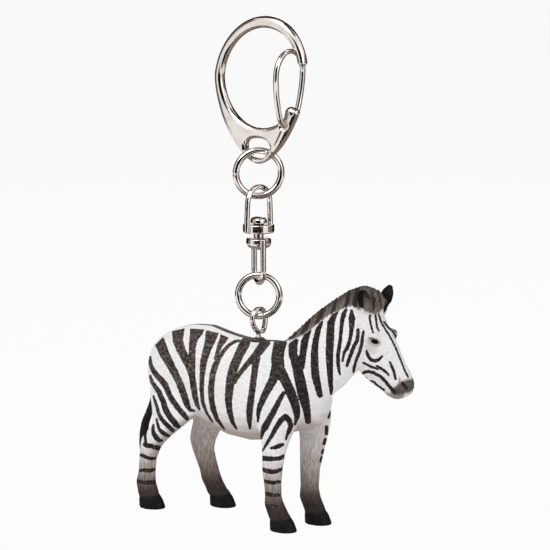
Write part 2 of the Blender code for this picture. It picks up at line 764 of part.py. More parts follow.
zebra_figure = solid("zebra_figure", figure_shells(), vinyl, (0, 0, saddle_z), smooth_angle=60)
skin = zebra_figure.modifiers.new("one skin", "REMESH")
skin.mode = "VOXEL"
skin.voxel_size = skin_grid
skin.use_smooth_shade = True
soften = zebra_figure.modifiers.new("soft creases", "SMOOTH")
soften.factor = 0.5
soften.iterations = skin_passes
fewer = zebra_figure.modifiers.new("fewer faces", "DECIMATE")
fewer.ratio = skin_keep_share
pairs = (("fore", chest_x, front_stance, front_hoof_shares), ("hind", rump_x, hind_stance, hind_hoof_shares))
for pair, start_x, stance, places in pairs:
    for forward, side in places:
        hoof_shape = bmesh.new()
        hoof(hoof_shape, start_x + forward * back_height, side, stance)
        boolean(zebra_figure, helper(f"{pair} hoof {side}", hoof_shape, vinyl, (0, 0, saddle_z)), "UNION")
for side in (-1, 1):
    ear_shape = bmesh.new()
    ear(ear_shape, side)
    boolean(zebra_figure, helper(f"ear {side}", ear_shape, vinyl, (0, 0, saddle_z)), "UNION")
boss_root = -boss_height * 3
boss_profile = [(0, boss_root), (boss_diameter / 2, boss_root), (boss_diameter / 2, boss_height * 0.5)]
boss_profile += [(boss_diameter * 0.4, boss_height), (0, boss_height)]
boss_shape = turned(bmesh.new(), boss_profile, 20)
boolean(zebra_figure, helper("boss", boss_shape, vinyl, (0, 0, saddle_z)), "UNION")
pilot_radius = screw_wire_diameter / 2 + swivel_gap
pilot_low = -screw_shank_length - seat_gap
pilot_high = boss_height + cut_overrun
pilot_profile = [(0, pilot_low), (pilot_radius, pilot_low), (pilot_radius, pilot_high), (0, pilot_high)]
pilot_shape = turned(bmesh.new(), pilot_profile, 16)
boolean(zebra_figure, helper("pilot hole", pilot_shape, vinyl, (0, 0, saddle_z)), "DIFFERENCE")
hang(zebra_figure, screw_eye)
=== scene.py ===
# Zebra key charm: painted coat, fine hardware, light and camera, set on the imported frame
import math

import bmesh
import bpy
import numpy as np
from mathutils import Matrix, Vector
from mathutils.geometry import tessellate_polygon


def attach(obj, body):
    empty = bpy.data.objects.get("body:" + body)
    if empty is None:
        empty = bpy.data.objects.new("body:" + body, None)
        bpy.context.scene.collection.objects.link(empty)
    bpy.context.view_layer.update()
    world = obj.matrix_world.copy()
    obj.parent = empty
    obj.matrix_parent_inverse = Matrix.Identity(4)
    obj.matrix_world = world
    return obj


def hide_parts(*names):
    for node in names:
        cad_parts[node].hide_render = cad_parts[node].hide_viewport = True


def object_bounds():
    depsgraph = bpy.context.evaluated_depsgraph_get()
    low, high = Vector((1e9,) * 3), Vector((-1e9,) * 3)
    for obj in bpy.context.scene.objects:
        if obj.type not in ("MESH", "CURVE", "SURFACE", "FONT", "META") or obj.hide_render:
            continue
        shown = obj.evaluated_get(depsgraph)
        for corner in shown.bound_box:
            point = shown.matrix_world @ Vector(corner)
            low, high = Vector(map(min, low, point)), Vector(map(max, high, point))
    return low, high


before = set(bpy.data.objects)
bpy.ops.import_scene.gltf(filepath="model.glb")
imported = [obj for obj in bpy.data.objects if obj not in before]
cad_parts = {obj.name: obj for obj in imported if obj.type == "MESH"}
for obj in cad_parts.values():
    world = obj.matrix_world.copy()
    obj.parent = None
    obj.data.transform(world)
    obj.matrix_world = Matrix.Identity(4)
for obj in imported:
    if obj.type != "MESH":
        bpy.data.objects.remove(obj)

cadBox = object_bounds()
mm = 0.001  # the tables below are in millimetres, unless they say pixels
farOff = 1e3  # further than anything on the object, in either
print("frame loaded")


def addObject(name, data):
    made = bpy.data.objects.new(name, data)
    bpy.context.scene.collection.objects.link(made)
    return made


# Camera, in millimetres and degrees: it stands in front of the zebra's right side and looks a little down
cameraSetup = {
    "eye": (341.665, -481.888, 51.174),
    "turn": 35.0,
    "tilt": 10.0,
    "lens": 183.5,
    "sensor": 36.0,
    "imageWidth": 550,
}


def cameraAxes():
    turn, tilt = math.radians(cameraSetup["turn"]), math.radians(cameraSetup["tilt"])
    right = np.array((math.cos(turn), math.sin(turn), 0.0))
    back = np.array((math.sin(turn) * math.cos(tilt), -math.cos(turn) * math.cos(tilt), math.sin(tilt)))
    return right, np.cross(back, right), back


def makeCamera():
    right, up, back = (Vector(axis) for axis in cameraAxes())
    data = bpy.data.cameras.new("camera")
    data.lens = cameraSetup["lens"]
    data.sensor_width = cameraSetup["sensor"]
    data.clip_start = 0.01
    data.clip_end = 30
    camera = addObject("camera", data)
    eye = Vector(cameraSetup["eye"]) * mm
    camera.matrix_world = Matrix.Translation(eye) @ Matrix((right, up, back)).transposed().to_4x4()
    bpy.context.scene.camera = camera


# Where points in millimetres fall in the photograph, in its pixels
def inPhoto(points):
    right, up, back = cameraAxes()
    middle = cameraSetup["imageWidth"] / 2
    reach = cameraSetup["lens"] / cameraSetup["sensor"] * cameraSetup["imageWidth"]
    seen = points - np.array(cameraSetup["eye"])
    depth = -(seen @ back)
    return np.stack((middle + reach * (seen @ right) / depth, middle - reach * (seen @ up) / depth), axis=1)


makeCamera()
print("camera set")


# A colour written as in a paint program, turned into the linear values that the renderer mixes
def colour(code):
    parts = [int(code[i:i + 2], 16) / 255 for i in (1, 3, 5)]
    return [p / 12.92 if p <= 0.04045 else ((p + 0.055) / 1.055) ** 2.4 for p in parts]


# Soft step from 0 at the first value to 1 at the second
def ease(values, start, end):
    share = np.clip((values - start) / (end - start), 0, 1)
    return share * share * (3 - 2 * share)


# Distance from points to a line of (place..., half width) rows, less the line's half width there
def edgeDistance(points, line):
    line = np.array(line, dtype=float)
    nearest = np.full(len(points), farOff)
    for start, end in zip(line, line[1:]):
        way = end[:-1] - start[:-1]
        share = np.clip((points - start[:-1]) @ way / max(way @ way, 1e-9), 0, 1)
        gap = np.linalg.norm(points - start[:-1] - share[:, None] * way, axis=1)
        nearest = np.minimum(nearest, gap - start[-1] - share * (end[-1] - start[-1]))
    return nearest


def meshPoints(mesh):
    points = np.empty(len(mesh.vertices) * 3)
    mesh.vertices.foreach_get("co", points)
    return points.reshape(-1, 3)


def meshNormals(mesh):
    normals = np.empty(len(mesh.vertices) * 3, dtype=np.float32)
    mesh.vertex_normals.foreach_get("vector", normals)
    return normals.reshape(-1, 3).astype(float)


def movePoints(mesh, points):
    mesh.vertices.foreach_set("co", np.ascontiguousarray(points, dtype=np.float32).ravel())
    mesh.update()


# Averages neighbouring points, then pushes back, so that small steps go and the size stays
def relax(mesh, passes, freedom=1.0):
    pairs = np.empty(len(mesh.edges) * 2, dtype=np.int32)
    mesh.edges.foreach_get("vertices", pairs)
    a, b = pairs.reshape(-1, 2).T
    points = meshPoints(mesh)
    count = len(points)
    degree = np.maximum(np.bincount(pairs, minlength=count), 1)[:, None]
    for i in range(passes):
        for pull in (0.5, -0.52):
            sums = [np.bincount(a, p[b], count) + np.bincount(b, p[a], count) for p in points.T]
            points = points + (np.stack(sums, axis=1) / degree - points) * pull * freedom
    movePoints(mesh, points)


# An object whose mesh is laid anew with an even, finer skin
def fineSkin(name, mesh, grid):
    piece = addObject(name, mesh)
    skin = piece.modifiers.new("fine skin", "REMESH")
    skin.mode = "VOXEL"
    skin.voxel_size = grid * mm
    seen = piece.evaluated_get(bpy.context.evaluated_depsgraph_get())
    fine = bpy.data.meshes.new_from_object(seen)
    piece.modifiers.clear()
    piece.data = fine
    fine.shade_smooth()
    return piece


# The same over a copy of a CAD node's mesh
def fineCopy(name, node, grid):
    return fineSkin(name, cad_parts[node].data.copy(), grid)


# Splits the faces round the chosen points, for finer paint there
def refine(mesh, chosen):
    shape = bmesh.new()
    shape.from_mesh(mesh)
    edges = [edge for edge in shape.edges if all(chosen[vert.index] for vert in edge.verts)]
    bmesh.ops.subdivide_edges(shape, edges=edges, cuts=1, use_grid_fill=True)
    shape.to_mesh(mesh)
    shape.free()


# Gives a piece its finish, the body it rides on and the CAD node it stands in for
def dress(piece, look, body, node):
    piece.data.materials.clear()
    piece.data.materials.append(look)
    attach(piece, body)
    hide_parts(node)


def startMaterial(name):
    look = bpy.data.materials.new(name)
    look.use_nodes = True
    return look, look.node_tree.nodes, look.node_tree.links, look.node_tree.nodes["Principled BSDF"]


def addNode(nodes, kind, settings=None, inputs=None):
    made = nodes.new(kind)
    for name, value in (settings or {}).items():
        setattr(made, name, value)
    for name, value in (inputs or {}).items():
        made.inputs[name].default_value = value
    return made


# Noise in the piece's own space, stretched by a scale for each axis, per metre
def addNoise(nodes, links, place, scale, detail=3.0, rough=0.5):
    mapping = addNode(nodes, "ShaderNodeMapping", inputs={"Scale": scale})
    grain = addNode(nodes, "ShaderNodeTexNoise", inputs={"Scale": 1.0, "Detail": detail, "Roughness": rough})
    links.new(place.outputs["Object"], mapping.inputs["Vector"])
    links.new(mapping.outputs["Vector"], grain.inputs["Vector"])
    return grain.outputs["Fac"]


def addMath(nodes, links, operation, first, second=0.5, third=0.0):
    step = addNode(nodes, "ShaderNodeMath", {"operation": operation})
    for slot, value in zip(step.inputs, (first, second, third)):
        if isinstance(value, (int, float)):
            slot.default_value = value
        else:
            links.new(value, slot)
    return step.outputs[0]


def addRange(nodes, links, value, fromLow, fromHigh, toLow=0.0, toHigh=1.0):
    inputs = {"From Min": fromLow, "From Max": fromHigh, "To Min": toLow, "To Max": toHigh}
    step = addNode(nodes, "ShaderNodeMapRange", {"interpolation_type": "SMOOTHSTEP"}, inputs)
    links.new(value, step.inputs["Value"])
    return step.outputs["Result"]


def addMix(nodes, links, share, first, second, blend="MIX"):
    step = addNode(nodes, "ShaderNodeMix", {"data_type": "RGBA", "blend_type": blend})
    for slot, value in ((step.inputs[0], share), (step.inputs[6], first), (step.inputs[7], second)):
        if isinstance(value, (int, float)):
            slot.default_value = value
        elif isinstance(value, (list, tuple)):
            slot.default_value = (*value, 1)
        else:
            links.new(value, slot)
    return step.outputs[2]


def addBump(nodes, links, height, strength, depth, shader):
    bump = addNode(nodes, "ShaderNodeBump", inputs={"Strength": strength, "Distance": depth * mm})
    links.new(height, bump.inputs["Height"])
    links.new(bump.outputs["Normal"], shader.inputs["Normal"])


# Nickel on the castings and on the brighter wires: colours, noise scales and how smooth each is
nickelFinish = {
    "plate": "#ece5df",
    "cloud": "#e2dad2",
    "cloudScale": (420, 420, 420),
    "scuffScale": (900, 5200, 5200),
    "rippleScale": (650, 650, 650),
    "casting": {"smooth": 0.1, "dull": 0.17, "ripple": 0.004},
    "wire": {"smooth": 0.05, "dull": 0.1, "ripple": 0.004},
}


def makeNickel(name, finish):
    look, nodes, links, shader = startMaterial(name)
    place = addNode(nodes, "ShaderNodeTexCoord")
    cloud = addNoise(nodes, links, place, nickelFinish["cloudScale"], 4)
    scuff = addNoise(nodes, links, place, nickelFinish["scuffScale"], 2)
    share = addRange(nodes, links, cloud, 0.35, 0.7)
    tint = addMix(nodes, links, share, colour(nickelFinish["plate"]), colour(nickelFinish["cloud"]))
    links.new(tint, shader.inputs["Base Color"])
    worn = addMath(nodes, links, "MULTIPLY", cloud, scuff)
    rough = addRange(nodes, links, worn, 0.15, 0.42, finish["smooth"], finish["dull"])
    links.new(rough, shader.inputs["Roughness"])
    shader.inputs["Metallic"].default_value = 1.0
    soft = addNoise(nodes, links, place, nickelFinish["rippleScale"], 2)
    fine = addMath(nodes, links, "MULTIPLY_ADD", scuff, 0.12, soft)
    addBump(nodes, links, fine, 0.5, finish["ripple"], shader)
    return look


castNickel = makeNickel("cast nickel plate", nickelFinish["casting"])
wireNickel = makeNickel("nickel wire", nickelFinish["wire"])

# The zebra's coat: stripe colours, how their edges run, noise scales and shine
coatFinish = {
    "stripe": "#191314",
    "stripeWorn": "#443833",
    "speck": "#a39a94",
    "stripeFaded": "#746862",
    "widen": 0.12,
    "rag": 0.24,
    "hairRag": 0.28,
    "edge": 0.06,
    "hairRelief": 0.13,
    "hairScale": (900, 3600, 2400),
    "grainScale": (5200, 5200, 5200),
    "wearScale": (1300, 2600, 1700),
    "strandScale": (3400, 3400, 620),
    "dull": (0.5, 0.64),
    "shine": 0.16,
}

# What each point of the figure's skin tells the coat, beside its colour
coatMaps = ("stripeGap", "gloss", "streak", "fade")


# White hair with painted shade in its grooves, and ragged stripes, which are worn, faded and flecked where
# the skin says so
def makeCoat():
    look, nodes, links, shader = startMaterial("painted zebra coat")
    place = addNode(nodes, "ShaderNodeTexCoord")
    tone = addNode(nodes, "ShaderNodeAttribute", {"attribute_name": "coatTone"}).outputs["Color"]
    gap, gloss, streak, fade = (
        addNode(nodes, "ShaderNodeAttribute", {"attribute_name": name}).outputs["Fac"] for name in coatMaps
    )
    hair = addNoise(nodes, links, place, coatFinish["hairScale"], 4, 0.6)
    grain = addNoise(nodes, links, place, coatFinish["grainScale"], 3, 0.6)
    wear = addNoise(nodes, links, place, coatFinish["wearScale"], 5, 0.65)
    grainy = addMath(nodes, links, "SUBTRACT", grain)
    ragged = addMath(nodes, links, "MULTIPLY_ADD", grainy, coatFinish["rag"], gap)
    hairy = addMath(nodes, links, "SUBTRACT", hair)
    ragged = addMath(nodes, links, "MULTIPLY_ADD", hairy, coatFinish["hairRag"], ragged)
    low, high = coatFinish["widen"] - coatFinish["edge"], coatFinish["widen"] + coatFinish["edge"]
    stripe = addRange(nodes, links, ragged, high, low)
    # painted shade of the moulded hair: the white darkens where the same hair noise sinks the bump
    paintedHairShade = addRange(nodes, links, hair, 0.28, 0.7, 0.85, 1.03)
    white = addMix(nodes, links, 1.0, tone, paintedHairShade, "MULTIPLY")
    strand = addNoise(nodes, links, place, coatFinish["strandScale"], 4, 0.6)
    downy = addMix(nodes, links, streak, (1, 1, 1), addRange(nodes, links, strand, 0.34, 0.66, 0.45, 1.3))
    white = addMix(nodes, links, 1.0, white, downy, "MULTIPLY")
    worn = addMath(nodes, links, "MULTIPLY", addRange(nodes, links, wear, 0.42, 0.72), fade)
    dark = addMix(nodes, links, worn, colour(coatFinish["stripe"]), colour(coatFinish["stripeWorn"]))
    speck = addRange(nodes, links, addMath(nodes, links, "MULTIPLY", grain, wear), 0.355, 0.42)
    faded = addMath(nodes, links, "MULTIPLY", addRange(nodes, links, wear, 0.38, 0.68, 0.05, 0.75), fade)
    dark = addMix(nodes, links, faded, dark, colour(coatFinish["stripeFaded"]))
    dark = addMix(nodes, links, speck, dark, colour(coatFinish["speck"]))
    links.new(addMix(nodes, links, stripe, white, dark), shader.inputs["Base Color"])
    matt = addRange(nodes, links, grain, 0.3, 0.7, *coatFinish["dull"])
    rough = addMath(nodes, links, "MULTIPLY", matt, addMath(nodes, links, "SUBTRACT", 1.0, gloss))
    links.new(rough, shader.inputs["Roughness"])
    shader.inputs["Specular IOR Level"].default_value = coatFinish["shine"]
    height = addMath(nodes, links, "MULTIPLY_ADD", grain, 0.35, hair)
    height = addMath(nodes, links, "MULTIPLY_ADD", strand, streak, height)
    addBump(nodes, links, height, 0.6, coatFinish["hairRelief"], shader)
    return look


coat = makeCoat()
print("finishes made")

# The figure's own space starts at the saddle, where the screw eye enters its back, in millimetres
figureShape = {
    "grid": 0.24,
    "passes": 16,
    "fineFrom": 23.0,
    "saddle": (0.0, 0.0, -67.02),
    "sole": -39.8,
    "poll": (28.5, 0.0, 10.1),
    "headTurn": -10.0,
}

# Middle lines with half depths, which tell one part of the body from another
figureLines = {
    "head": (
        (28.2, 0, 11.4, 2.2), (28.9, 0, 9.9, 3.6), (29.2, 0.1, 6.7, 4.8), (28.9, 0.1, 2.8, 5.8),
        (30.8, -0.4, -0.2, 6.0), (33.4, -0.9, -1.9, 5.4), (36.1, -1.3, -3.4, 4.4),
        (37.8, -1.6, -5.0, 4.0), (39.0, -1.8, -6.3, 3.3), (39.6, -1.9, -7.3, 1.9),
    ),
    "neck": (
        (6.0, 0, -9.1, 8.9), (12.5, 0, -5.3, 7.7), (17.0, 0, -2.1, 7.3), (20.1, 0, 0.7, 7.0),
        (22.8, 0, 2.9, 6.5), (25.0, 0, 5.0, 5.0), (26.4, 0, 6.6, 2.8),
    ),
    "tail": (
        (-27.4, 0, -7.3, 0.95), (-28.0, 0, -11.5, 0.95), (-28.4, 0, -16.3, 0.95),
        (-29.2, 0, -18.9, 1.0), (-30.2, 0, -20.6, 1.2), (-31.0, 0, -22.5, 1.25),
        (-31.5, 0, -24.9, 1.25), (-31.8, 0, -27.3, 1.2), (-32.0, 0, -29.2, 0.85),
        (-32.1, 0, -30.1, 0.35),
    ),
}

# How far a far leg's middle stands ahead of its near twin, by height above the soles
farLegAhead = {
    "farHind": (
        (2.0, 11.8), (7.6, 9.8), (13.1, 6.9), (16.3, 5.6), (20.3, 3.9), (25.1, 1.8), (31.8, 0.5),
    ),
    "farFore": (
        (2.0, 2.9), (5.5, 2.9), (10.3, 3.2), (13.1, 3.6), (19.5, 3.5), (23.1, 2.9), (33.0, 0.8),
    ),
}

# Painted stripes on the body's right side, as brush strokes of (pixel across, pixel down, half width)
bodyStrokes = {
    "rumpUpper": (
        (150, 357, 0.8), (150.5, 364, 1.4), (153, 370, 2), (157, 375.5, 2.4), (161, 379.5, 2.6),
        (165, 384.5, 2.6), (167.5, 390, 2.4), (169.5, 395.5, 2.3), (173, 401, 2.4), (177, 406.5, 2.3),
        (180.5, 411, 2.2), (184, 415, 2.2), (187, 418.5, 1.6),
    ),
    "rumpMiddle": (
        (150.3, 376, 0.7), (152, 382, 1.5), (155, 386.5, 1.8), (159, 392, 2.2), (161, 397, 2.2),
        (163.5, 402, 2.4), (165, 408, 2.5), (168, 414, 2.6), (171.5, 419, 2.5), (175.5, 424, 2.5),
        (178.5, 426.5, 1.6),
    ),
    "rumpLower": (
        (153.5, 396, 0.5), (155, 401, 0.9), (157, 407, 1.1), (158.5, 413, 1.3), (161, 418.5, 1.6),
        (165, 423, 1.8), (169, 427, 1.9), (173, 430.5, 1.5),
    ),
    "gaskinUpper": (
        (156.5, 419, 0.5), (157.5, 424, 0.8), (159, 429, 1.2), (162.5, 432.5, 1.7), (166.5, 435, 1.5),
        (170, 436.5, 0.7),
    ),
    "gaskinLower": (
        (153.5, 425, 0.6), (152.8, 429.5, 1.2), (154, 434, 1.9), (156.5, 438, 2.1), (159.5, 440.5, 1.6),
        (162, 440.5, 0.7),
    ),
    "hockTick": ((146.5, 431, 0.5), (145, 435, 0.8), (145.3, 439, 1), (146, 443, 1)),
    "flankOne": (
        (155, 334, 5.4), (159.5, 342, 5), (165, 355, 4.3), (172, 368, 3.5), (179, 381.5, 3.1),
        (184, 395, 3), (187, 404.5, 2.6), (190, 410, 1.4), (194, 411, 0.7),
    ),
    "flankTwo": (
        (178.5, 324, 6.2), (178, 333, 5.4), (178, 341, 4.6), (181, 350, 4), (185.5, 359, 3.5),
        (189, 366, 3.2), (192, 376, 2.6),
    ),
    "flankThree": (
        (198.5, 324, 7.2), (196.5, 331, 6.2), (194, 338, 4), (192.3, 346, 2.9), (192, 356, 2.9),
        (192, 366, 2.9), (192, 375, 2.8), (193.5, 386, 2.7), (195, 396, 2.4), (197, 404, 1.8),
        (199.5, 409.5, 0.5),
    ),
    "flankFour": (
        (213, 329, 6), (211.5, 335, 5.8), (210, 341, 4.6), (207.2, 349, 3.6), (203.5, 362, 3),
        (202, 377, 2), (201.7, 391, 1.7), (202.8, 402.5, 1.4), (206.5, 412.5, 0.9), (212.5, 422, 0.4),
    ),
    "flankFive": ((225, 335, 4), (223, 340, 3.2), (220, 345, 2.2), (217.5, 352, 1.5), (216, 358, 1.6)),
    "flankSix": (
        (239, 340.5, 0.8), (234, 342, 1.2), (229, 345, 1.3), (224, 350.5, 1.5), (219.5, 357, 1.8),
        (215.5, 365, 2.6), (212.5, 375, 2.6), (211, 388, 2.6), (211.5, 400, 2.5), (213.5, 410, 2.3),
        (217, 419, 1.6), (221.5, 425.5, 0.9), (224.5, 429, 0.3),
    ),
    "barrelOne": (
        (245, 343, 4.8), (239.5, 354, 4.2), (234.5, 365, 4.2), (231, 377, 4), (229.5, 388, 3.7),
        (228.5, 400, 3.1), (229.5, 411, 2.5), (232.5, 422, 1.6), (236.5, 429, 0.5),
    ),
    "barrelBranch": (
        (265.5, 342.5, 4.2), (260.5, 349, 4), (256, 355, 3.5), (250, 361, 2.4), (244, 368, 2),
        (238.5, 375, 1.8), (234, 381, 2.5),
    ),
    "barrelTwo": (
        (256.5, 358, 3.5), (255, 368, 2.8), (253.5, 380, 2.7), (252, 392, 2.8), (250.5, 402, 2.9),
        (249.5, 412, 2.8), (249.3, 421, 2), (250, 428.5, 0.7),
    ),
    "shoulderStem": (
        (280.5, 342, 6), (278.5, 350, 5.7), (277.5, 358, 5.8), (278, 366, 6), (276.5, 374, 6),
    ),
    "shoulderRear": (
        (275, 374, 4.5), (273, 380, 4), (268, 389, 3.5), (263.5, 398, 3), (260, 406, 2.4),
        (258.3, 413, 1.7), (258, 421.5, 0.6),
    ),
    "shoulderFront": (
        (281, 372, 5), (285.5, 381, 4.4), (290, 391, 4.4), (294, 401, 4.1), (296.5, 410, 3.4),
        (297, 416, 2.4), (295, 424.5, 0.6),
    ),
    "armUpper": (
        (283.5, 393, 1.5), (279, 401, 2.2), (274, 411, 2.5), (269, 420, 2.7), (265, 427, 3),
        (262.5, 432, 1.8), (261.5, 438.5, 0.5),
    ),
    "armLower": (
        (262.5, 451, 0.4), (266, 445, 1), (271, 437, 1.6), (276, 428, 2), (281, 420, 2.3),
        (285.5, 416.5, 2.4), (289, 420, 2.4), (291, 426, 1.9), (289, 431, 1.7), (287, 435, 1),
        (286, 439.5, 0.4),
    ),
    "neckOne": (
        (296, 341, 2), (293, 346, 4), (293, 354, 4), (295.5, 362, 4), (298, 371, 4.5), (300, 380, 5),
        (302, 390, 5), (304.5, 400, 4.5), (306.5, 409, 3.5), (307.5, 416, 3), (308, 421, 2.6),
    ),
    "neckTwo": (
        (309.5, 330.5, 1.5), (307, 335, 2.5), (304.5, 342, 3.3), (303.5, 350, 3), (302.5, 358, 3),
        (301, 367, 3),
    ),
    "neckThree": (
        (322, 322, 0.8), (318.5, 329, 2.2), (316, 339, 2.6), (314.5, 351, 3.1), (314.5, 364, 3.5),
        (315.5, 376, 3.6), (318, 387, 3), (320, 395, 2.3),
    ),
    "neckFour": (
        (338, 311, 0.6), (334, 316, 2.2), (331, 323, 3.3), (330.5, 332, 3.5), (330, 342, 3.5),
        (329.5, 352, 3.4), (329.5, 362, 3), (330, 372, 2.6), (330.5, 382, 2), (331.3, 389, 1.6),
        (331, 394, 0.6),
    ),
    "neckFive": (
        (346, 309.5, 1), (344, 314, 2), (342.3, 320, 1.8), (341.5, 327, 1.4), (340.8, 335, 1.3),
        (339.5, 345, 1.5), (338, 355, 1.5), (338, 363, 1.4), (339, 370, 1.1), (340, 374.5, 0.4),
    ),
    "neckSix": (
        (351.5, 311, 1), (352, 318, 3), (351.7, 326, 2.2), (351, 334, 1.4), (349.5, 342, 1.4),
        (347, 348, 1.6), (344, 353, 1), (342.5, 361, 0.6),
    ),
}

# The line along the back, across and down in pixels, above which the flank's stripes stop, and its end
backEdgeTo = 238
backEdge = (
    (146, 352), (154, 346.5), (164.5, 336), (172, 331.5), (185, 328.5), (204, 330), (218, 333.5),
    (227, 337.5), (240, 340),
)

# Bands round the legs, on their outer sides
legStrokes = {
    "hindOne": (
        (144.5, 444.5, 1.4), (147, 445.5, 2), (151, 446, 1.8), (155, 447.5, 1.9), (159, 448, 2),
    ),
    "hindTwo": ((141, 455, 1.2), (146, 457.3, 1.3), (150, 458.5, 1.3), (156, 458.3, 0.8)),
    "hindThree": ((140, 470.5, 1), (145, 470, 1.4), (149, 470.8, 1.5), (154, 469.5, 1.3)),
    "hindFour": (
        (135, 480, 1.3), (139, 481.5, 1.2), (143, 482.5, 1.2), (148, 482.5, 1.6), (157, 482, 1.8),
    ),
    "foreOne": ((271, 448.2, 0.7), (275, 447.4, 1.7), (279, 446, 1.8), (282.5, 444.5, 1.2)),
    "foreTwo": ((260, 458, 2.2), (268, 458.7, 2), (275, 459, 1.6), (280, 458, 1.8), (285, 456, 1.4)),
    "foreThree": (
        (260, 468.5, 1.2), (266, 470.5, 1.7), (272, 472, 1.9), (277, 471.2, 1.6), (283, 468.5, 1.2),
    ),
    "foreFour": (
        (262, 480, 0.8), (267.5, 482, 1.3), (272, 483, 1.4), (277, 482, 1.2), (283, 481.8, 0.8),
    ),
    "foreFive": ((264, 493, 1.4), (269, 494.5, 1.5), (274, 495.3, 1.5), (279, 495, 1)),
    "foreSix": ((262, 506, 1.3), (270, 506.5, 1.3), (277, 506, 1)),
}

# Ticks on the far foreleg's front edge, seen past the near one
farForeStrokes = {
    "upper": ((331.5, 402, 1), (329.5, 410, 1)),
    "second": ((330, 413, 0.6), (328.5, 418, 0.6)),
    "knee": ((326.5, 427, 1.4), (326.5, 433.5, 1.4)),
    "fourth": ((325.5, 439.5, 1.2), (324, 443.5, 1.2)),
    "fifth": ((323, 450.5, 1), (322.5, 453, 1)),
    "lowest": ((321.8, 457.5, 1), (320.8, 461, 1)),
}

# The face's lines, those on both sides first and then those of one side only
faceStrokes = {
    "midline": (
        (378.5, 314, 0.5), (381, 322, 0.5), (385, 329, 0.5), (389, 335, 0.5), (393, 342, 0.5),
        (397, 351, 0.5), (401, 361, 0.5), (405, 371, 0.5), (408, 377, 0.5),
    ),
    "cheekRear": (
        (358, 330, 1.2), (358, 335, 1.3), (357, 341, 1.4), (354, 346, 1.5), (351, 354, 1.4),
        (348, 362, 1.3), (347, 366, 0.9),
    ),
    "cheekFront": (
        (363.5, 331.5, 0.8), (362.5, 337, 1.1), (361.5, 345, 1.2), (359.5, 352, 1.2), (356, 361, 1.1),
        (354, 368, 1.1), (353.5, 372, 0.7),
    ),
    "underEye": (
        (366.5, 351, 0.7), (368, 356, 1.2), (371, 360, 1.3), (375, 361, 1.2), (379, 359.5, 1.1),
        (382, 356.5, 0.6),
    ),
    "cheekLineOne": ((363.5, 363, 0.7), (368, 365, 0.9), (372, 367, 0.9), (378, 369, 0.5)),
    "cheekLineTwo": ((377, 366, 0.6), (382, 369, 0.9), (386, 372, 0.9), (388.5, 375, 0.5)),
    "jaw": (
        (361.5, 374, 0.9), (365, 372, 1.2), (369, 371.5, 1.2), (374, 373, 1.2), (380, 376, 1.2),
        (385, 381, 1.2), (390, 387, 1.3), (395, 393, 1.3),
    ),
    "jawLoop": ((361.5, 374, 0.9), (362.5, 378, 0.8), (366, 378, 0.7)),
    "lowerJaw": ((371, 381, 0.5), (374, 382, 0.6), (378, 386, 0.6), (384, 390, 0.6)),
    "noseSide": ((390, 362, 0.6), (392, 367, 1), (394, 372, 1), (395.5, 379, 0.7)),
    "nostril": ((402, 383, 0.8), (407, 388, 0.8)),
}
nearFaceStrokes = {
    "browInner": ((370, 315, 0.6), (369.5, 318, 0.7), (371, 325, 0.7), (373, 332.5, 0.5)),
    "browOuter": ((375.5, 314, 0.5), (376, 320, 0.6), (377, 327, 0.6), (379, 331, 0.4)),
}
farFaceStrokes = {
    "browInner": (
        (384, 322, 0.5), (388, 327, 0.6), (393, 331.5, 0.6), (395, 335, 0.6), (396, 338, 0.4),
    ),
    "browOuter": ((386.5, 321, 0.4), (391.3, 325, 1.1), (396, 330, 1.3), (398.5, 334, 0.5)),
}

# Where the mane meets the neck, across and down in pixels, and the stripes that run on into it
maneEdge = (
    (286, 341), (300, 338), (310, 331), (320, 322), (328, 316), (335, 312.5), (345, 308), (352, 306),
    (357, 309), (364, 312), (371, 314), (377, 314), (383, 310), (387, 304),
)
maneStrokes = {
    "withers": ((291, 339, 1.2), (295, 333, 1.8)),
    "lower": ((302, 333, 1.6), (306, 327, 2.2), (309, 321, 1.8)),
    "middle": ((317, 323, 1.8), (320.5, 315, 2.4), (323, 308, 2)),
    "upper": ((332, 314, 1.6), (334.5, 307, 1.8), (336, 299, 1.4)),
    "top": ((345, 308, 1.6), (347.5, 301, 1.8), (349, 293, 1.4)),
    "behindEar": ((354, 306, 2), (356, 298, 2.6), (358, 290, 2.4)),
    "forelockRear": ((372, 292, 1), (374, 300, 1.4), (374, 308, 0.6)),
    "forelockFront": ((378, 293, 0.8), (380, 300, 1.2), (381, 308, 0.6)),
}

coatPaint = {
    "white": "#f4f3f4",
    # painted shade: the grey laid in the cheek's hollow, over the head, on the lower chest and on the legs'
    # inner sides
    "paintedShade": "#c9c1bc",
    "taupe": "#b0a39b",
    "legBrown": "#5b4f49",
    "legDark": "#2c2523",
    "hoof": "#131111",
    "mane": "#80756e",
    "maneDark": "#2b2422",
    "tailLight": "#bdb7b3",
    "tuft": "#231e1c",
    "ear": "#756a64",
    "black": "#120e0d",
    "muzzle": "#4f4541",
    "chin": "#8f847d",
    "rust": "#a5714f",
    "eyeSocket": "#a3978f",
    "eye": "#080605",
}

# Where parts of the body begin and end, in the figure's own millimetres, with heights above the soles
bodyParts = {
    "headFrom": 22,
    "foreFrom": -4,
    "legTop": (25, 21),
    "farLegTop": (32, 25),
    "tail": {"before": -25.5, "under": -8, "half": 1.8, "skin": 0.45},
    "belly": (-24, 18),
    "screwSeat": {"reach": (2.6, 1.8), "above": -6},
    "soleEdge": (0.6, 0.2),
}

# Hooves: the height of the coronet, how it slopes, and where each hoof's middle stands along the body
hoofShape = {
    "height": 2.6,
    "slope": 0.14,
    "middle": {"nearFore": 9.8, "farFore": 12.4, "nearHind": -25.3, "farHind": -13.3},
}

# Between which heights of the photograph, in pixels down, each leg turns grey and then brown
legShades = {
    "nearFore": {"grey": (450, 488), "brown": (472, 508)},
    "farFore": {"grey": (435, 470), "brown": (462, 500)},
    "nearHind": {"grey": (434, 474), "brown": (457, 492)},
    "farHind": {"grey": (395, 450), "brown": (440, 484)},
}

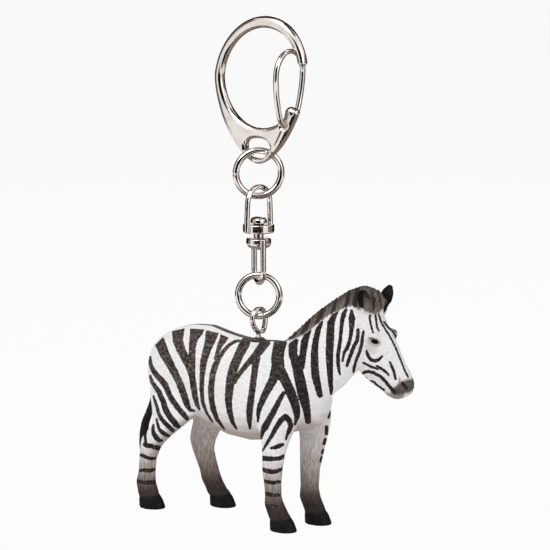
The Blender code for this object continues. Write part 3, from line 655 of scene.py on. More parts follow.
# The dark line along the back: its half width along the body, and how wide it is beside the screw eye
backLine = {
    "rows": ((-27, -0.3), (-20, 0.3), (-10, 0.7), (0, 0.85), (7, 0.7), (11, 0.2)),
    "to": 11,
    "screwReach": 1.9,
    "screwHalf": 1.6,
    "croupBefore": -19,
    "croupHalf": 2.2,
}

# The mane's ends and half widths, from the neck to the poll, in pixels across and millimetres
maneShape = {
    "from": 286,
    "to": 389,
    "ahead": 7,
    "widens": (350, 372),
    "half": (2.0, 2.8),
}

# The tail's middle along the body, by height, and where its tuft starts
tailShape = {
    "middle": ((-30, -32.1), (-22.5, -31), (-18.9, -29.2), (-16.3, -28.4), (-7.3, -27.4)),
    "slant": 3.2,
    "tuft": (-15.5, -17.5),
    "carveTuft": (-18.5, -20.5),
    "carveMiddle": -31.4,
}

# Ears: root, length and half widths, and the ways they point and open; y changes sign from side to side
earShape = {
    "root": (1.012, 2.706, -0.32),
    "up": (0.19, 0.31, 1),
    "open": (0.14, 0.99, 0),
    "length": 5.1,
    "halves": ((0.0, 0.9), (0.2, 1.4), (0.42, 1.8), (0.66, 1.65), (0.85, 1.1), (1.0, 0.4)),
    "farRoot": ((389, 300, 2.4), (385.5, 308, 1.9), (384, 312.5, 0.7)),
    "farInner": ((386, 300, 1.0), (386.2, 304.5, 1.2), (385.4, 308, 0.8)),
}

# The near eye in the photograph: oval, socket and upper lid, and the middle of the painted shade in the
# cheek's hollow, in pixels and degrees
eyeShape = {
    "at": (374.3, 341.8),
    "cheek": (371, 348),
    "half": (4.0, 2.1),
    "lean": 20,
    "socket": (8.0, 4.6),
    "lid": ((-6.5, -1.6, 0.3), (-3, -2.6, 0.6), (1.5, -2.6, 0.6), (5.6, -0.4, 0.3)),
}

# Marks and cuts on the face, as strokes of (pixel across, pixel down, half width)
faceMarks = {
    "nose": ((395, 391, 4), (401, 389, 6), (408, 386, 6.6), (413, 381, 3)),
    "chin": ((384, 395.5, 2.5), (392, 397, 3), (400, 397, 3)),
    "rust": ((399.6, 378.5, 0.4), (399.8, 384, 0.6)),
    "nostril": ((402.5, 385, 0.6), (406.5, 388.5, 1.0)),
    "nostrilCut": ((401.5, 382.5, 0.5), (407, 388, 0.7)),
    "lipCut": ((396, 391, 0.2), (402, 391.5, 0.2), (408, 391, 0.2), (413, 388, 0.2)),
}

# How deep or high the carved detail stands
carving = {
    "lidAbove": 0.16,
    "lidBelow": 0.09,
    "lidGroove": 0.1,
    "nostril": 0.28,
    "lips": 0.12,
    "mane": 0.06,
    "tuft": 0.3,
    "tuftLocks": 0.06,
    "coronet": 0.07,
}

pixelSize = 0.214  # millimetres to a pixel of the photograph
clearOfStripes = 1.0  # a gap, in millimetres, that keeps stripes off a painted part
legInside = -0.15  # how far a leg's skin turns inward before its bands stop


def headTurn():
    return Matrix.Rotation(math.radians(figureShape["headTurn"]), 3, "Z")


# Waves that stand in for locks of hair
def hairWaves(local):
    strand = local[:, 0] * 0.95 - local[:, 2] * 0.12 + 0.1 * np.sin(local[:, 2] * 1.3)
    fine = 0.4 * np.sin(strand * 19.1 + local[:, 1] * 2)
    return np.sin(strand * 7.5) + 0.6 * np.sin(strand * 12.3 + 1.3) + fine


# Place in the eye's own leaning oval: across, down, and how far out in ovals
def eyePlace(photo):
    lean = math.radians(eyeShape["lean"])
    x, y = photo[:, 0] - eyeShape["at"][0], photo[:, 1] - eyeShape["at"][1]
    across = x * math.cos(lean) + y * math.sin(lean)
    below = y * math.cos(lean) - x * math.sin(lean)
    return across, below, np.hypot(across / eyeShape["half"][0], below / eyeShape["half"][1])


# The skin as it falls in the photograph once the far side is folded over the near one
def foldedOver(points, height, legs):
    folded = points.copy()
    folded[:, 1] = -np.abs(folded[:, 1])
    for name, rows in farLegAhead.items():
        shift = np.interp(height, *np.array(rows).T) * ease(height, *bodyParts["farLegTop"])
        folded[:, 0] -= np.where(legs[name], shift, 0)
    return inPhoto(folded)


# What the paint and the carving need to know of each point of the figure's skin
def surveyFigure(mesh):
    points, normals = meshPoints(mesh) / mm, meshNormals(mesh)
    local = points - np.array(figureShape["saddle"])
    height = local[:, 2] - figureShape["sole"]
    fore, far = local[:, 0] > bodyParts["foreFrom"], local[:, 1] > 0
    legs = {"nearFore": ~far & fore, "farFore": far & fore, "nearHind": ~far & ~fore, "farHind": far & ~fore}
    gaps = {name: edgeDistance(local, line) for name, line in figureLines.items()}
    tail = bodyParts["tail"]
    isTail = (gaps["tail"] < tail["skin"]) & (np.abs(local[:, 1]) < tail["half"])
    isTail = isTail & (local[:, 0] < tail["before"]) & (local[:, 2] < tail["under"])
    folded = foldedOver(points, height, legs)
    aside = np.array(headTurn() @ Vector((0, 1, 0)))
    headSide = (local - np.array(figureShape["poll"])) @ aside
    face = inPhoto(points - np.outer(2 * np.maximum(headSide, 0), aside))
    hoofMiddle = np.select(list(legs.values()), [hoofShape["middle"][name] for name in legs])
    return {
        "points": points,
        "local": local,
        "normals": normals,
        "height": height,
        "outward": normals[:, 1] * np.where(local[:, 1] < 0, -1.0, 1.0),
        "facing": normals @ cameraAxes()[2],
        "isHead": (gaps["head"] < gaps["neck"]) & (local[:, 0] > bodyParts["headFrom"]),
        "isTail": isTail,
        "tailGap": gaps["tail"],
        "far": far,
        "legs": legs,
        "leg": ease(height, *bodyParts["legTop"]),
        "hoofGap": height - hoofShape["height"] - hoofShape["slope"] * (local[:, 0] - hoofMiddle),
        "photo": inPhoto(points),
        "folded": folded,
        "face": face,
        "eye": eyePlace(face),
        "aboveManeEdge": np.interp(folded[:, 0], *np.array(maneEdge).T) - folded[:, 1],
        "hair": hairWaves(local),
    }


# Distance to each ear's middle line, and how squarely a point looks out of the ear's hollow
def surveyEars(place):
    gap = np.full(len(place["local"]), farOff)
    hollow, earRise, earRear = np.zeros((3, len(gap)))
    for side in (-1, 1):
        root, up, opening = (
            headTurn() @ Vector((x, side * y, z))
            for x, y, z in (earShape["root"], earShape["up"], earShape["open"])
        )
        root = Vector(figureShape["poll"]) + root
        up.normalize()
        opening = np.array((opening - up * opening.dot(up)).normalized())
        line = [(*(root + up * share * earShape["length"]), half) for share, half in earShape["halves"]]
        near = edgeDistance(place["local"], line)
        closer = near < gap
        gap = np.where(closer, near, gap)
        fromRoot = place["local"] - np.array(root)
        rise = fromRoot @ np.array(up) / earShape["length"]
        rearward = rise * earShape["length"] * up[0] - fromRoot[:, 0] - 0.2
        rim = 3.0 * np.clip(rearward + 0.3, 0, 1.5)
        rim = rim - 0.7 * np.clip(-rearward, 0, 1.5) * ease(rise, 0.95, 0.75)
        inset = ease(near + rim, -0.3, -0.6) * ease(rise, 0.9, 0.78)
        hollow = np.where(closer, ease(place["normals"] @ opening, -0.1, 0.35) * inset, hollow)
        earRise, earRear = np.where(closer, rise, earRise), np.where(closer, rearward, earRear)
    place["earGap"] = gap
    place["earHollow"] = hollow
    place["earRise"], place["earRear"] = earRise, earRear


# Distance to the nearest of a set of strokes, in millimetres
def strokesGap(photo, strokes):
    nearest = np.full(len(photo), farOff)
    for line in strokes.values():
        nearest = np.minimum(nearest, edgeDistance(photo, line))
    return nearest * pixelSize


# Distance to the edge of the nearest stripe, in millimetres and less than nothing inside it
def stripeGaps(place):
    seen, folded, face = place["photo"], place["folded"], place["face"]
    local, outward, facing = place["local"], place["outward"], place["facing"]
    body = strokesGap(folded, bodyStrokes)
    top = np.interp(folded[:, 0], *np.array(backEdge).T) - folded[:, 1]
    body = np.where(folded[:, 0] < backEdgeTo, np.maximum(body, top * pixelSize), body)
    cheek = strokesGap(folded, {name: faceStrokes[name] for name in ("cheekRear", "cheekFront")})
    gap = np.minimum(np.minimum(body, cheek), strokesGap(folded, legStrokes))

    farFore = place["legs"]["farFore"] & (place["leg"] > 0)
    gap = np.where(farFore & (facing > 0.05), farOff, gap)
    ticks = strokesGap(seen, farForeStrokes)
    gap = np.where(farFore & (facing > -0.1), np.minimum(gap, ticks), gap)
    hidden = (place["leg"] > 0) & (outward < legInside)
    gap = np.where(hidden & ~farFore, np.maximum(gap, (legInside - outward) * 3), gap)

    seenSets = (faceStrokes, nearFaceStrokes, farFaceStrokes)
    seenFace = np.minimum.reduce([strokesGap(seen, strokes) for strokes in seenSets])
    turnedFace = np.minimum(strokesGap(face, faceStrokes), strokesGap(face, nearFaceStrokes))
    gap = np.where(place["isHead"], np.where(facing > -0.03, seenFace, turnedFace), gap)

    along, aside, up = local[:, 0], np.abs(local[:, 1]), place["normals"][:, 2]
    half = np.interp(along, *np.array(backLine["rows"]).T)
    half = np.where(np.abs(along) < backLine["screwReach"], backLine["screwHalf"], half)
    backGap = np.where(up > 0.4, aside - half, farOff)
    croup = (along < backLine["croupBefore"]) & (up > 0.2)
    gap = np.where(croup, np.maximum(gap, backLine["croupHalf"] - aside), gap)
    gap = np.where(~place["isHead"] & (along < backLine["to"]), np.minimum(gap, backGap), gap)
    gap = np.where(place["isTail"], clearOfStripes, gap)
    return np.clip(gap, -2, 2)


# Lays one colour over the coat, by a share for each point
def lay(paint, share, name):
    tones = paint["tones"]
    paint["tones"] = tones + (np.array(colour(coatPaint[name])) - tones) * np.clip(share, 0, 1)[:, None]


# Raises how hairy or glossy the coat is, but never lowers it
def raiseTo(paint, which, share):
    paint[which] = np.maximum(paint[which], share)


# Keeps stripes off the chosen points
def clearStripes(paint, chosen):
    paint["stripeGap"] = np.where(chosen, clearOfStripes, paint["stripeGap"])


# Painted shade on the body: under the belly, in the cheek's hollow, over the head, on the lower chest and on
# the legs' inner sides
def paintBody(paint, place):
    local, normals, isHead = place["local"], place["normals"], place["isHead"]
    # painted shade under the belly: skin that faces down, low on the body, turns taupe
    belly = ease(normals[:, 2], -0.2, -0.8) * ease(place["height"], 31, 25)
    belly = belly * (local[:, 0] > bodyParts["belly"][0]) * (local[:, 0] < bodyParts["belly"][1])
    lay(paint, belly * 0.95, "taupe")
    # painted shade in the cheek's hollow below the eye
    x, y = (place["face"] - eyeShape["cheek"]).T
    lay(paint, isHead * ease(np.hypot(x / 1.2, y), 9, 2) * 0.7, "paintedShade")
    # a lighter painted shade over the whole head
    lay(paint, isHead * 0.2, "paintedShade")
    # painted shade on the lower chest
    chest = ease(local[:, 0], 8, 13) * ease(local[:, 2], -9, -13) * (1 - isHead)
    lay(paint, chest * 0.25, "paintedShade")
    # painted shade on the legs' inner sides
    lay(paint, place["leg"] * ease(place["outward"], 0.1, -0.5) * 0.6, "paintedShade")


def paintLegs(paint, place):
    down, leg, legs = place["photo"][:, 1], place["leg"], place["legs"]
    for name, shades in legShades.items():
        low = (legs[name] & (leg > 0)) * 1.0
        (greyFrom, greyTo), (brownFrom, brownTo) = shades["grey"], shades["brown"]
        lay(paint, low * ease(down, greyFrom, greyTo) * 0.9, "taupe")
        lay(paint, low * ease(down, brownFrom, brownTo), "legBrown")
        lay(paint, low * ease(down, brownTo - 14, brownTo + 8) * 0.85, "legDark")
        raiseTo(paint, "streak", low * ease(down, greyFrom - 20, greyTo) * 0.7)
    shin = legs["nearHind"] * leg * ease(place["normals"][:, 0], 0.1, 0.8) * ease(place["height"], 20, 14)
    lay(paint, shin * ease(down, 482, 466) * 0.8, "taupe")
    hoof = ease(place["hoofGap"], 0.15, -0.1)
    lay(paint, hoof, "hoof")
    clearStripes(paint, hoof > 0.5)
    paint["streak"] = paint["streak"] * (1 - hoof)
    raiseTo(paint, "gloss", hoof * 0.15)


def paintMane(paint, place):
    local, folded, hair = place["local"], place["folded"], place["hair"]
    across, above, aside = folded[:, 0], place["aboveManeEdge"], np.abs(local[:, 1])
    half = np.interp(across, maneShape["widens"], maneShape["half"])
    slim = ease(aside, half + 0.4, half - 0.3)
    isMane = (above > -1) & (across > maneShape["from"]) & (across < maneShape["to"])
    isMane = isMane & (local[:, 0] > maneShape["ahead"]) & (place["earGap"] > 0.1)
    mane = np.where(isMane, ease(above + hair * 0.7, -0.8, 1.2) * slim, 0)
    lay(paint, mane, "mane")
    lay(paint, mane * ease(hair, 0.4, -1.8) * 0.3, "maneDark")
    lay(paint, mane * ease(above, 3, 15) * ease(across, *maneShape["widens"][::-1]) * 0.6, "maneDark")
    raiseTo(paint, "streak", mane * 0.85)
    patch = ease(strokesGap(folded, maneStrokes) + hair * 0.05, 0.3, -0.2)
    lay(paint, mane * patch * 0.9, "maneDark")
    crest = ease(aside, 1.1, 0.3) * ease(place["normals"][:, 2], 0.3, 0.8)
    lay(paint, mane * crest * 0.6, "maneDark")
    clearStripes(paint, mane > 0.5)


def paintTail(paint, place):
    local, isTail = place["local"], place["isTail"]
    lay(paint, isTail * ease(place["tailGap"], bodyParts["tail"]["skin"], 0.1), "tailLight")
    middle = np.interp(local[:, 2], *np.array(tailShape["middle"]).T)
    tuft = local[:, 2] + (local[:, 0] - middle) * tailShape["slant"]
    lay(paint, isTail * ease(tuft, *tailShape["tuft"]), "tuft")
    raiseTo(paint, "streak", isTail * 0.6)


# Each ear is black behind and at its tip, and brown in its hollow and on its open edge
def paintEars(paint, place):
    photo, facing, rise = place["photo"], place["facing"], place["earRise"]
    ear = ease(place["earGap"], 0.35, 0.05)
    lay(paint, ear * ease(rise, 0.02, 0.16), "black")
    openEdge = ease(rise, 0.62, 0.46) * ease(place["earRear"], 0.1, -0.3) * ease(place["outward"], -0.3, 0.1)
    hollow = np.maximum(place["earHollow"], openEdge) * ease(rise, -0.1, 0.12)
    lay(paint, ear * hollow, "ear")
    lay(paint, ear * hollow * ease(rise, 0.42, 0.72) * 0.8, "black")
    raiseTo(paint, "streak", ear * hollow)
    clearStripes(paint, ear > 0.3)
    farRoot = ease(edgeDistance(photo, earShape["farRoot"]), 0.6, -0.4)
    lay(paint, farRoot * (facing > -0.1) * (place["local"][:, 0] > 24), "black")
    farInner = ease(edgeDistance(photo, earShape["farInner"]), 0.8, -0.6)
    lay(paint, ear * place["far"] * farInner * (facing > 0) * 0.8, "ear")


def paintFace(paint, place):
    face, isHead = place["face"], place["isHead"] * 1.0
    gaps = {name: edgeDistance(face, line) for name, line in faceMarks.items()}
    nose = gaps["nose"] + place["hair"] * 0.35
    lay(paint, isHead * ease(gaps["chin"], 3.2, -1.5) * 0.9, "chin")
    lay(paint, isHead * ease(nose, 1.8, -1.8) * 0.95, "muzzle")
    raiseTo(paint, "streak", isHead * ease(nose, 3, -1) * 0.5)
    lay(paint, isHead * ease(gaps["rust"], 1.5, -0.3) * 0.8, "rust")
    lay(paint, isHead * ease(gaps["nostril"], 0.9, -0.4), "black")
    across, below, eye = place["eye"]
    socket = np.hypot(across / eyeShape["socket"][0], (below - 0.3) / eyeShape["socket"][1])
    lay(paint, isHead * ease(socket, 1.25, 0.6) * 0.5, "eyeSocket")
    lay(paint, isHead * ease(eye, 1.15, 0.9), "eye")
    lid = edgeDistance(np.stack((across, below), axis=1), eyeShape["lid"])
    lay(paint, isHead * ease(lid, 0.6, -0.3) * 0.9, "black")
    clearStripes(paint, (isHead > 0) & (eye < 1.3))
    raiseTo(paint, "gloss", isHead * ease(eye, 1.02, 0.85) * 0.85)


def paintFigure(mesh, place):
    count = len(place["local"])
    paint = {
        "tones": np.tile(colour(coatPaint["white"]), (count, 1)),
        "stripeGap": stripeGaps(place),
        "gloss": np.zeros(count),
        "streak": np.zeros(count),
        "fade": 0.25 + ease(place["local"][:, 0], 15, -4) * ease(place["photo"][:, 1], 430, 370) * 0.75,
    }
    for paintPart in (paintBody, paintLegs, paintMane, paintTail, paintEars, paintFace):
        paintPart(paint, place)
    tones = np.hstack((paint["tones"], np.ones((count, 1))))
    made = mesh.attributes.new("coatTone", "FLOAT_COLOR", "POINT")
    made.data.foreach_set("color", tones.astype(np.float32).ravel())
    for name in coatMaps:
        made = mesh.attributes.new(name, "FLOAT", "POINT")
        made.data.foreach_set("value", paint[name].astype(np.float32))


# Carved detail, in millimetres along each point's normal: eyes and lids, nostrils, lips, mane and tail hair
def carveFigure(mesh, place):
    local, folded, face, isHead = place["local"], place["folded"], place["face"], place["isHead"]
    _, below, eye = place["eye"]
    lid = np.exp(-((eye - 1.35) / 0.22) ** 2) * np.where(below < 0, carving["lidAbove"], carving["lidBelow"])
    groove = -np.exp(-((eye - 1.02) / 0.12) ** 2) * carving["lidGroove"]
    lift = isHead * (lid + groove)
    lift -= isHead * ease(edgeDistance(face, faceMarks["nostrilCut"]), 1.2, -0.4) * carving["nostril"]
    lift -= isHead * ease(edgeDistance(face, faceMarks["lipCut"]), 1.0, 0.0) * carving["lips"]
    mane = ease(place["aboveManeEdge"], 0, 3) * ease(np.abs(local[:, 1]), 2.8, 1.9)
    mane *= (folded[:, 0] > maneShape["from"] + 1) * (folded[:, 0] < maneShape["to"] - 1)
    lift += mane * (place["earGap"] > 0.3) * place["hair"] * carving["mane"]
    turn = np.arctan2(local[:, 1], local[:, 0] - tailShape["carveMiddle"])
    tuft = place["isTail"] * ease(local[:, 2], *tailShape["carveTuft"])
    lift += tuft * (np.sin(turn * 9 + local[:, 2] * 0.4) * carving["tuftLocks"] - carving["tuft"])
    lift -= np.exp(-(place["hoofGap"] / 0.25) ** 2) * carving["coronet"]
    movePoints(mesh, (place["points"] + place["normals"] * lift[:, None]) * mm)


# The skin stays put where the screw eye enters it and under the soles
def makeFigure():
    piece = fineCopy("zebra_coat", "zebra_figure", figureShape["grid"])
    mesh = piece.data
    points = meshPoints(mesh) / mm - np.array(figureShape["saddle"])
    seat = bodyParts["screwSeat"]
    firm = ease(np.hypot(points[:, 0], points[:, 1]), *seat["reach"]) * (points[:, 2] > seat["above"])
    soleFrom, soleTo = (figureShape["sole"] + step for step in bodyParts["soleEdge"])
    firm = np.maximum(firm, ease(points[:, 2], soleFrom, soleTo))
    relax(mesh, figureShape["passes"], (1 - firm)[:, None])
    refine(mesh, points[:, 0] > figureShape["fineFrom"])
    place = surveyFigure(mesh)
    surveyEars(place)
    carveFigure(mesh, place)
    paintFigure(mesh, place)
    dress(piece, coat, "figure", "zebra_figure")
    print("zebra made:", len(mesh.vertices), "points")


makeFigure()


# Castings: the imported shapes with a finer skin, so that their edges flow as cast metal does
castPieces = {
    "swivel_bow": {"name": "swivel_stirrup", "grid": 0.1, "passes": 10},
    "swivel_eye": {"name": "swivel_long_eye", "grid": 0.1, "passes": 10},
}

# The flange under the swivel's neck: its underside swells into a bell, and the eye's legs run up over its rim
bellShape = {
    "base": -46.55,
    "half": 2.7,
    "deep": 0.9,
    "fade": 3.0,
    "legRise": 0.5,
    "legFade": 1.1,
    "top": 0.6,
    "legTop": 1.6,
}


def swellBell(mesh):
    points = meshPoints(mesh) / mm
    above, reach = points[:, 2] - bellShape["base"], np.hypot(points[:, 0], points[:, 1])
    under = ease(above, -bellShape["fade"], 0) * (above < bellShape["top"])
    bell = bellShape["deep"] * np.clip(1 - (reach / bellShape["half"]) ** 2, 0, 1) * under
    legs = bellShape["legRise"] * ease(above, 0, bellShape["legFade"]) * (above < bellShape["legTop"])
    points[:, 2] += legs * (reach > bellShape["half"] + 0.05) - bell
    movePoints(mesh, points * mm)


for node, setup in castPieces.items():
    casting = fineCopy(setup["name"], node, setup["grid"])
    if node == "swivel_eye":
        swellBell(casting.data)
    relax(casting.data, setup["passes"])
    dress(casting, castNickel, node, node)  # the swivel's bodies have their nodes' names
print("swivel made")


# Snap hook: one outline whose bar is rounded as far as its width allows, flat only across the plate
hookShape = {
    "thickness": 2.3,
    "halfWidth": 9.8,
    "halfHeight": 10.6,
    "bar": 1.8,
    "topBar": 2.3,
    "swell": 0.28,
    "middle": 0.7,
    "skew": 0.12,
    "tipDrop": 18.4,
    "eggPowers": (1.6, 0.6),
    "noseDrop": 6.4,
    "hornFoot": (7.5, -20.2),
    "hornHeight": 4.7,
    "hornBar": 2.0,
    "hornRoot": 4.2,
    "hole": {"at": (0.15, -25.55), "half": (2.95, 2.05), "power": 0.78, "rounding": 1.0, "steps": 120},
    "rounding": 1.05,
    "rib": ((-70, 0.6, 0.7), (-60, 0.85, 1.05), (-48, 0.95, 1.28), (-36, 1.2, 1.36), (-25, 1.55, 1.4)),
    "ribSteps": 60,
    "ribSides": 36,
    "ribEnd": (8, 86, 8),
    "dimple": {"at": (7.2, -20.2), "from": 1.5, "to": 0.6, "share": 0.3},
    "grid": 0.11,
    "passes": 8,
    "levels": 15,
    "spacing": 0.13,
    "outerSteps": 260,
    "innerSteps": 150,
}


def hookOuter(degrees):
    s, a = hookShape, math.radians(degrees)
    wide, tall = s["halfWidth"] + s["bar"], s["halfHeight"] + s["topBar"]
    swell = s["swell"] * ease(degrees % 360, 25, 75)
    if math.sin(a) >= 0:
        rise = (tall + swell) * math.sin(a)
        return (s["middle"] + (wide + swell) * math.cos(a) + s["skew"] * rise, rise - s["halfHeight"])
    drop = -math.sin(a)
    half = wide * max(1 - drop ** s["eggPowers"][0], 0) ** s["eggPowers"][1] + swell * (1 - drop) ** 3
    across = s["middle"] * (1 - drop) ** 2 + math.copysign(half, math.cos(a))
    return (across, -s["halfHeight"] - s["tipDrop"] * drop)


def hookInner(degrees):
    s, a = hookShape, math.radians(degrees)
    rise = s["halfHeight"] * math.sin(a)
    return (s["middle"] + s["halfWidth"] * math.cos(a) + s["skew"] * max(rise, 0), rise - s["halfHeight"])


def roundEnd(start, end, steps=14):
    start, end = np.array(start), np.array(end)
    middle, arm = (start + end) / 2, (start - end) / 2
    side = np.array((-arm[1], arm[0]))
    turns = np.linspace(0, math.pi, steps + 2)[1:-1]
    return [tuple(middle + arm * math.cos(a) + side * math.sin(a)) for a in turns]


# Points spread evenly round a closed loop, with its sharp inner corners eased
def evenLoop(points, spacing, passes=12):
    points = np.vstack((points, points[:1]))
    reached = np.concatenate(([0], np.cumsum(np.linalg.norm(np.diff(points, axis=0), axis=1))))
    places = np.linspace(0, reached[-1], int(reached[-1] / spacing) + 1)[:-1]
    loop = np.stack([np.interp(places, reached, points[:, k]) for k in (0, 1)], axis=1)
    for i in range(passes):
        loop = loop + ((np.roll(loop, 1, 0) + np.roll(loop, -1, 0)) / 2 - loop) * 0.5
    return loop


# From the nose round the bow's outside to the horn, and back along the inside
def hookOutline():
    s = hookShape
    nose = math.degrees(math.asin((s["halfHeight"] - s["noseDrop"]) / (s["halfHeight"] + s["topBar"])))
    hornTop = s["hornFoot"][1] + s["hornHeight"] - s["hornBar"]
    horn = -math.degrees(math.asin((-s["halfHeight"] - hornTop) / s["tipDrop"]))
    root = -math.degrees(math.acos((s["hornFoot"][0] - s["hornRoot"] / 2 - s["middle"]) / s["halfWidth"]))
    outer = [hookOuter(a) for a in np.linspace(nose, 360 + horn, s["outerSteps"])]
    hornInner = (outer[-1][0] - s["hornBar"], outer[-1][1])
    inner = [hookInner(a) for a in np.linspace(360 + root, nose, s["innerSteps"])]
    return outer + roundEnd(outer[-1], hornInner) + [hornInner] + inner + roundEnd(inner[-1], outer[0])


def holeLoop():
    hole, loop = hookShape["hole"], []
    for a in np.linspace(0, -math.tau, hole["steps"] + 1)[:-1]:
        share = [math.copysign(abs(v) ** hole["power"], v) for v in (math.cos(a), math.sin(a))]
        loop.append([hole["at"][k] + hole["half"][k] * share[k] for k in (0, 1)])
    return np.array(loop)


# Way into the metal at each point of a loop, and the radius of the largest disc that fits there
def loopInward(loop, passes=30):
    way = np.roll(loop, -1, 0) - np.roll(loop, 1, 0)
    inward = np.stack((-way[:, 1], way[:, 0]), axis=1) / np.linalg.norm(way, axis=1)[:, None]
    apart = loop[None, :, :] - loop[:, None, :]
    depth = np.einsum("ijk,ik->ij", apart, inward)
    squares = (apart ** 2).sum(axis=2)
    discs = np.where(depth > 0.02, squares / np.maximum(2 * depth, 1e-6), farOff)
    room = discs.min(axis=1)
    for i in range(passes):
        room = np.minimum(room, (np.roll(room, 1) + np.roll(room, -1)) / 2)
    return inward, room


# Faces of a skin over closed rows of points, each row holding the same count
def skinFaces(rows, count, base=0):
    faces = []
    for row in range(rows - 1):
        low, high = base + row * count, base + (row + 1) * count
        for j in range(count):
            k = (j + 1) % count
            faces.append((low + j, high + j, high + k, low + k))
    return faces


# The thick rib that runs up the plate's edge and ends in the horn's lobe
def ribShell():
    sides = hookShape["ribSides"]
    degrees, across, deep = np.array(hookShape["rib"]).T
    places = np.linspace(degrees[0], degrees[-1], hookShape["ribSteps"])
    edge = np.array([hookOuter(a) for a in places])
    way = np.gradient(edge, axis=0)
    way /= np.linalg.norm(way, axis=1)[:, None]
    aside = np.stack((-way[:, 1], way[:, 0]), axis=1)
    half, depth = np.interp(places, degrees, across), np.interp(places, degrees, deep)
    middle = edge + aside * half[:, None]

    def cap(end, sign, bends):
        reach = way[end] * half[end] * sign
        return [
            (middle[end] + reach * math.sin(a), aside[end], half[end] * math.cos(a), depth[end] * math.cos(a))
            for a in bends
        ]

    bends = np.radians(np.linspace(*hookShape["ribEnd"]))
    rows = cap(0, -1, bends[::-1]) + list(zip(middle, aside, half, depth)) + cap(-1, 1, bends)
    turns = np.arange(sides) * math.tau / sides
    verts = []
    for at, out, wide, thick in rows:
        for t in turns:
            reach = wide * math.cos(t)
            verts.append((at[0] + out[0] * reach, thick * math.sin(t), at[1] + out[1] * reach))
    last = (len(rows) - 1) * sides
    ends = [tuple(range(sides)), tuple(range(last, last + sides))[::-1]]
    return verts, ends + skinFaces(len(rows), sides)


def hookMesh():
    s = hookShape
    edge = evenLoop(np.array(hookOutline()), s["spacing"])
    verts, faces, rims = [], [], []
    for loop, rounding in ((edge, s["rounding"]), (holeLoop(), s["hole"]["rounding"])):
        inward, room = loopInward(loop)
        reach = np.minimum(rounding, room * 0.9)[:, None]
        count, base = len(loop), len(verts)
        for a in np.linspace(-math.pi / 2, math.pi / 2, s["levels"]):
            flat = loop + inward * reach * (1 - math.cos(a))
            y = math.sin(a) * s["thickness"] / 2
            verts += [(x, y, z) for x, z in flat]
        faces += skinFaces(s["levels"], count, base)
        rims.append((base, base + (s["levels"] - 1) * count, count))
    for which in (0, 1):
        order = [rim[which] + j for rim in rims for j in range(rim[2])]
        loops = []
        for rim in rims:
            points = verts[rim[which]:rim[which] + rim[2]]
            loops.append([Vector((x, z, 0)) for x, y, z in points])
        for face in tessellate_polygon(loops):
            faces.append(tuple(order[j] for j in (face if which else face[::-1])))
    ribVerts, ribFaces = ribShell()
    faces += [tuple(j + len(verts) for j in face) for face in ribFaces]
    verts += ribVerts
    mesh = bpy.data.meshes.new("hook casting")
    mesh.from_pydata([(x * mm, y * mm, z * mm) for x, y, z in verts], [], faces)
    shape = bmesh.new()
    shape.from_mesh(mesh)
    bmesh.ops.recalc_face_normals(shape, faces=shape.faces)
    shape.to_mesh(mesh)
    shape.free()
    return mesh


# The casting, with a shallow dimple where the gate's feet enter the horn
def makeHook():
    piece = fineSkin("hook_casting", hookMesh(), hookShape["grid"])
    relax(piece.data, hookShape["passes"])
    points = meshPoints(piece.data) / mm
    dimple = hookShape["dimple"]
    away = np.hypot(points[:, 0] - dimple["at"][0], points[:, 2] - dimple["at"][1])
    points[:, 1] *= 1 - dimple["share"] * ease(away, dimple["from"], dimple["to"])
    movePoints(piece.data, points * mm)
    dress(piece, castNickel, "hook", "hook_frame")
    print("hook made:", len(points), "points")


makeHook()


# Wire pieces: a round section carried along a line of points, with softened cut ends
def wireMesh(name, points, radius, sides=28, chamfer=0.1, ridge=None):
    points = np.array(points, dtype=float)
    ways = np.gradient(points, axis=0)
    ways /= np.linalg.norm(ways, axis=1)[:, None]
    steps = np.concatenate(([0], np.cumsum(np.linalg.norm(np.diff(points, axis=0), axis=1))))
    across = np.array(Vector(ways[0]).orthogonal().normalized())
    turns = np.arange(sides) * math.tau / sides
    rings = []
    for point, way, reached in zip(points, ways, steps):
        across = across - way * (across @ way)
        across /= np.linalg.norm(across)
        up = np.cross(way, across)
        half = np.full(sides, radius)
        if ridge:
            half += ridge(reached, turns)
        rings.append(point + np.outer(np.cos(turns) * half, across) + np.outer(np.sin(turns) * half, up))
    first = points[0] + (rings[0] - points[0]) * (1 - chamfer / radius)
    last = points[-1] + (rings[-1] - points[-1]) * (1 - chamfer / radius)
    rings[0] = rings[0] + ways[0] * chamfer
    rings[-1] = rings[-1] - ways[-1] * chamfer
    rings = [first] + rings + [last]
    faces = [(a, d, c, b) for a, b, c, d in skinFaces(len(rings), sides)]
    faces.append(tuple(range(sides))[::-1])
    faces.append(tuple(range((len(rings) - 1) * sides, len(rings) * sides)))
    mesh = bpy.data.meshes.new(name)
    mesh.from_pydata((np.concatenate(rings) * mm).tolist(), [], faces)
    mesh.shade_smooth()
    mesh.set_sharp_from_angle(angle=math.radians(50))
    return mesh


def placeWire(name, mesh, body, node, height, yaw=0.0, across=0.0):
    turn = Matrix.Rotation(math.radians(yaw), 4, "Z")
    mesh.transform(Matrix.Translation((across * mm, 0, height * mm)) @ turn)
    dress(addObject(name, mesh), wireNickel, body, node)


# A smooth line through given points
def smoothLine(points, steps=8):
    points = np.array(points, dtype=float)
    padded = np.vstack((2 * points[0] - points[1], points, 2 * points[-1] - points[-2]))
    line = []
    for a, b, c, d in zip(padded, padded[1:], padded[2:], padded[3:]):
        slope, bend, twist = c - a, 2 * a - 5 * b + 4 * c - d, 3 * b - a - 3 * c + d
        for t in np.arange(steps) / steps:
            line.append(0.5 * (2 * b + slope * t + bend * t**2 + twist * t**3))
    return np.vstack((line, points[-1]))


# Jump rings, hung from the middle of their wire at the top
ringShape = {
    "wire": 1.45,
    "split": 0.12,
    "steps": 200,
    "upper": {"diameter": 11.2, "top": -26.125, "yaw": 45, "split": 180},
    "lower": {"diameter": 10.4, "top": -52.975, "yaw": 26, "split": -75},
}


